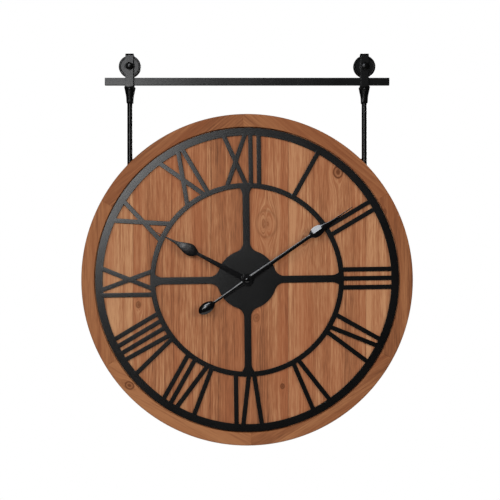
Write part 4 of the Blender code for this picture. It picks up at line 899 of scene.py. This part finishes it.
def boltShells(centre, low, high):
    # The head's front is dome k^2 deep at k of its half width, which cuts the hexagon's corners round.
    look = boltLook
    half, shank, arris, under = look["across"] / 2, look["shank"], look["tipArris"], low.y + look["head"]
    shares = [0.01, 0.2, 0.4, 0.6, 0.8, 0.92, *np.linspace(0.97, 1.16, 6)]
    stages = [(half * k, low.y + look["dome"] * k * k) for k in shares]
    stages += [(2 * half, under - look["underArris"]), (1.1 * half, under), (shank, under)]
    stages += [(shank, high.y - arris), (shank - arris, high.y), (nearAxis, high.y)]
    return [hexShell(stages, centre, look["across"], look["turn"])]


nutLook = {"turn": 17, "across": 13 * mm, "bore": 4.2 * mm, "face": 0.92, "corner": 1.16, "cone": 0.5}


def nutShells(centre, low, high):
    # Each face is coned from a circle at a share of the half width out past the corners.
    look, half = nutLook, nutLook["across"] / 2
    shares = np.linspace(look["face"], look["corner"], 5)
    face = [(look["bore"], 0)] + [(half * k, half * (k - look["face"]) * look["cone"]) for k in shares]
    return [hexShell(bothSides(face, low.y, high.y), centre, look["across"], look["turn"], ring=True)]


washerLook = {"radius": 8 * mm, "ease": 0.25 * mm, "rollerBore": 4.3 * mm, "bushingBore": 4.1 * mm}


def washerShells(centre, low, high):
    ease = washerLook["ease"]
    return [ringShell(centre, washerLook["rollerBore"], washerLook["radius"], low.y, high.y, ease)]


pinLook = {"head": 1.5 * mm, "shank": 2.5 * mm, "dome": 1.2}


def pinShells(centre, low, high):
    # Each end is a dome, (R sin a, h (1 - cos a) / (1 - cos d)) for a up to d, over a plain shank.
    look, radius = pinLook, (high.z - low.z) / 2
    head, full = look["head"], 1 - math.cos(look["dome"])
    turns = np.linspace(0.02, look["dome"], 7)
    half = [(radius * math.sin(a), head * (1 - math.cos(a)) / full) for a in turns]
    half += [(radius, head), (look["shank"], head)]
    return [turnedShell(bothSides(half, low.y, high.y), (centre[0], 0, (low.z + high.z) / 2), 48)]


def rodShells(centre, low, high):
    # An eye at each end, and between them a bar whose section, (w cos a, d sin a), flattens towards the foot.
    look, x = rodLook, centre[0]
    topZ, footZ = high.z - look["topEye"][0] * mm, low.z + look["footEye"][0] * mm
    shells = []
    for z, eye in ((topZ, look["topEye"]), (footZ, look["footEye"])):
        radius, half, bore = np.multiply(eye, mm)
        shells.append(ringShell((x, 0, z), bore, radius, railY - half, railY + half, look["ease"] * mm))
    a = np.linspace(0, 2 * math.pi, 48, endpoint=False)
    loops = []
    for start, stations in ((topZ, look["fromTop"]), (footZ, look["fromFoot"])):
        for place, wide, deep in np.multiply(stations, mm):
            z = np.full_like(a, start + place)
            loops.append(np.stack([x + wide * np.cos(a), railY + deep * np.sin(a), z], axis=-1))
    return shells + [loftedShell(loops)]


# piece, node and body, with the side to be filled in, the shape, and the degrees from which an edge is sharp
hangerPieces = [
    ("hangerStrap_{}", "hanger_strap_{}", "hanger_{}", strapShells, 40),
    ("roller_{}_wheel", "roller_{}", "roller_wheel_{}", rollerShells, 50),
    ("axleBolt_{}", "axle_bolt_{}", "hanger_{}", boltShells, 25),
    ("axleNut_{}", "axle_nut_{}", "hanger_{}", nutShells, 25),
    ("rollerWasher_{}_front", "roller_washer_{}_front", "hanger_{}", washerShells, 35),
    ("rollerWasher_{}_back", "roller_washer_{}_back", "hanger_{}", washerShells, 35),
    ("yokePin_{}", "yoke_pin_{}", "hanger_{}", pinShells, 35),
    ("hangerRod_{}", "hanger_rod_{}", "rod_{}", rodShells, 45),
]
for side in ("left", "right"):
    low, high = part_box(f"hanger_strap_{side}")
    rollerLow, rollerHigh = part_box(f"roller_{side}")
    centre = ((low.x + high.x) / 2, 0, (rollerLow.z + rollerHigh.z) / 2)
    for piece, node, body, shape, sharpFrom in hangerPieces:
        node = node.format(side)
        shells = shape(centre, *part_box(node))
        makePiece(piece.format(side), shells, body.format(side), "black_steel", node, sharpFrom)
print("hangers and rods hung")


# fixings, wall bar and movement


def turnedFixing(name, body, slotName, node, fromBack, fromFront, steps=48, sharpFrom=40):
    # Turned round y through (radius, depth) stations in millimetres from the back face, then from the front.
    low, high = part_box(node)
    centre = ((low.x + high.x) / 2, 0, (low.z + high.z) / 2)
    profile = [(radius * mm, high.y - depth * mm) for radius, depth in fromBack]
    profile += [(radius * mm, low.y + depth * mm) for radius, depth in fromFront]
    return makePiece(name, [turnedShell(profile, centre, steps)], body, slotName, node, sharpFrom)


def sharesOf(node, stations):
    # (share of the CAD node's radius, depth) stations as (radius, depth) ones in millimetres.
    low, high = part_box(node)
    own = (high.x - low.x) / 2 / mm
    return [(share * own, depth) for share, depth in stations]


# (radius, depth) stations in millimetres, but the standoff's and the bracket screw's crown in shares
fixingLook = {
    "standoff": [(1, 0), (1, 0.5), (0.84, 1.6), (0.82, 2.6)],
    "bracketCrown": [(0.5, 0.12), (0.82, 0.45), (1, 1.1), (1, 1.6)],
    "bracketNeck": [(1.8, 1.6)],
    "bracketTip": [(1.8, 3), (0.05, 0)],
    "footHead": [
        (0.05, 1.7), (3.4, 1.6), (3.4, 0.2), (3.7, 0), (4.3, 0.15), (4.8, 0.7), (5, 1.5), (5, 2.5), (3, 2.5),
    ],
    "footTip": [(3, 0.8), (2.2, 0), (0.05, 0)],
}
softenedCopy("wallBar", "rail", "black_steel", "wall_bar", 0.4 * mm)
for side in ("left", "right"):
    node = f"rail_standoff_{side}"
    post = [(0.05, 0)] + sharesOf(node, fixingLook["standoff"])
    turnedFixing(f"railStandoff_{side}", "rail", "black_steel", node, post, post[::-1], 48, 50)
    softenedCopy(f"rodBracket_{side}", "clock_head", "black_steel", f"rod_bracket_{side}", 0.5 * mm)
    head, tip = fixingLook["footHead"], fixingLook["footTip"]
    turnedFixing(f"footScrew_{side}", "clock_head", "black_steel", f"foot_screw_{side}", head, tip, 64)
    node = f"bracket_screw_{side}"
    head = [(0.05, 0)] + sharesOf(node, fixingLook["bracketCrown"]) + fixingLook["bracketNeck"]
    turnedFixing(f"bracketScrew_{side}", "clock_head", "zinc_steel", node, head, fixingLook["bracketTip"])

softenedCopy("movementCase", "clock_head", "black_plastic", "movement_case", 0.3 * mm)
softenedCopy("movementCover", "clock_head", "black_plastic", "movement_cover", 0.25 * mm)
softenedCopy("caseGasket", "clock_head", "rubber", "case_gasket", 0.2 * mm)

bushingLook = {
    "turn": 10, "across": 12 * mm, "bore": 4.1 * mm, "face": 5.5 * mm, "cone": 3 * mm, "back": 7 * mm,
}
low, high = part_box("bushing_nut")
half, bore = bushingLook["across"] / 2, bushingLook["bore"]
stages = [(bore, low.y), (bushingLook["face"], low.y)]
stages += [(half * k, low.y + (k - 0.92) * bushingLook["cone"]) for k in np.linspace(0.94, 1.16, 5)]
stages += [(bushingLook["back"], high.y), (bore, high.y)]
bushingNut = hexShell(stages, shaft, bushingLook["across"], bushingLook["turn"], ring=True)
makePiece("bushingNut", [bushingNut], "clock_head", "brass", "bushing_nut", 25)
low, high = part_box("bushing_washer")
bore, ease = washerLook["bushingBore"], washerLook["ease"]
bushingWasher = ringShell(shaft, bore, washerLook["radius"], low.y, high.y, ease, 72)
makePiece("bushingWasher", [bushingWasher], "clock_head", "brass", "bushing_washer")

softenedCopy("settingKnob", "knob_work", "white_plastic", "setting_knob", 0.15 * mm)

# (radius, distance along) stations in millimetres from the flat end, then from the end with the cap
batteryLook = {
    "flatEnd": [(0.05, 0), (5.2, 0), (5.4, 0.3), (6.2, 0.3)], "bodyFrom": 0.9, "bodyTo": 2.6,
    "capEnd": [(6.2, 1.8), (2.9, 1.6), (2.7, 0.3), (2.4, 0), (0.05, 0)], "bareInside": 6.1,
}
low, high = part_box("battery")
middleY, middleZ, radius = (low.y + high.y) / 2, (low.z + high.z) / 2, (high.z - low.z) / 2
profile = [(r * mm, low.x + along * mm) for r, along in batteryLook["flatEnd"]]
profile += [(radius, low.x + batteryLook["bodyFrom"] * mm), (radius, high.x - batteryLook["bodyTo"] * mm)]
profile += [(r * mm, high.x - along * mm) for r, along in batteryLook["capEnd"]]
can = turnedShell(profile, (0, middleY, middleZ), 72, axis=0)
battery = makePiece("batteryCell", [can], "clock_head", "battery_wrap", "battery", 30)
battery.data.materials.append(finishes["zinc_steel"])
centres = np.empty(len(battery.data.polygons) * 3)
battery.data.polygons.foreach_get("center", centres)
radii = np.hypot(*(centres.reshape(-1, 3)[:, 1:] - (middleY, middleZ)).T)
bare = (radii < batteryLook["bareInside"] * mm).astype(np.int32)
battery.data.polygons.foreach_set("material_index", bare)

carried = {
    "stator": "zinc_steel", "contact_positive": "zinc_steel", "contact_negative": "zinc_steel",
    "minute_arbor": "brass", "hour_wheel": "brass", "third_wheel": "brass", "fourth_wheel": "brass",
    "fifth_wheel": "brass", "stepper_rotor": "black_plastic", "motion_wheel": "white_plastic",
    "drive_coil": "copper_wire", "circuit_board": "board_green",
}
for node, slotName in carried.items():
    cadNodes[node].data.materials.clear()
    cadNodes[node].data.materials.append(finishes[slotName])
print("movement fitted")


# floor, light and camera

studio = {
    "floorZ": -1.36, "floorRadius": 1.5, "ambient": 0.026,
    # the floor disc's edge: share of the radius and depth
    "floorEdge": [(0.995, 0), (1, 0.004), (0.995, 0.01)],
    # place, width, height, degrees turned in its own plane, watts, colour, whether glossy finishes mirror it
    "softboxes": {
        "windowSoftbox": ((-0.81, -3.6, 0.17), 0.75, 0.75, 0, 18, "#FFFFFF", True),
        "glintSoftbox": ((-0.62, -3.0, 1.2), 1.4, 0.45, 35, 30, "#F4F8FF", True),
        "leftSoftbox": ((-3.0, -2.2, 1.3), 1.8, 1.8, 0, 88, "#FFFDFA", False),
        "rightSoftbox": ((3.0, -2.2, 0.9), 1.8, 1.8, 0, 84, "#FFFDFA", False),
        "backFill": ((1.2, 2.2, 0.6), 1.6, 1.2, 0, 50, "#FFFFFF", True),
    },
    "lightAim": (headX, -0.03, headZ + 0.05),
    "lens": 94.1, "cameraAt": (0.0054, -2.45, headZ + 0.0547),
}

a = np.linspace(0, 2 * math.pi, 96, endpoint=False)
floorLoops = []
for share, depth in studio["floorEdge"]:
    r = studio["floorRadius"] * share
    floorLoops.append(np.stack([r * np.cos(a), r * np.sin(a), 0 * a + studio["floorZ"] - depth], axis=1))
floorPoints, floorFaces = loftedShell(floorLoops)
floorMesh = bpy.data.meshes.new("studioFloor")
floorMesh.from_pydata(floorPoints, [], floorFaces)
floorMesh.materials.append(mouldedPolymer("mattPaintedFloor", ("#F2F1EE", "#ECEBE8"), 0.8, 6, 0.05))
floor = bpy.data.objects.new("studioFloor", floorMesh)
bpy.context.scene.collection.objects.link(floor)

# what the camera sees past the object is white, while the light from there is faint
world = bpy.data.worlds.new("paleStudio")
bpy.context.scene.world = world
world.use_nodes = True
sky = world.node_tree
background = sky.nodes["Background"]
background.inputs["Color"].default_value = (1, 1, 1, 1)
seen = addNode(sky, "LightPath").outputs["Is Camera Ray"]
limits = {"To Min": studio["ambient"], "To Max": 1.0}
linkInto(sky, background, {"Strength": addNode(sky, "MapRange", values=limits, links={"Value": seen})})

for name, (place, width, height, turn, watts, tint, mirrored) in studio["softboxes"].items():
    lamp = bpy.data.lights.new(name, "AREA")
    lamp.shape = "RECTANGLE"
    lamp.size, lamp.size_y, lamp.energy = width, height, watts
    lamp.color = linearColour(tint)[:3]
    softbox = bpy.data.objects.new(name, lamp)
    softbox.location = place
    aim = (Vector(studio["lightAim"]) - Vector(place)).to_track_quat("-Z", "Y")
    softbox.rotation_euler = (aim @ Quaternion((0, 0, 1), math.radians(turn))).to_euler()
    softbox.visible_glossy = mirrored
    bpy.context.scene.collection.objects.link(softbox)

camera = bpy.data.objects.new("studioCamera", bpy.data.cameras.new("studioCamera"))
camera.data.lens = studio["lens"]
camera.location = studio["cameraAt"]
camera.rotation_euler = (math.pi / 2, 0, 0)
bpy.context.scene.collection.objects.link(camera)
bpy.context.scene.camera = camera
bpy.context.scene.view_settings.view_transform = "Standard"
print("studio lit")
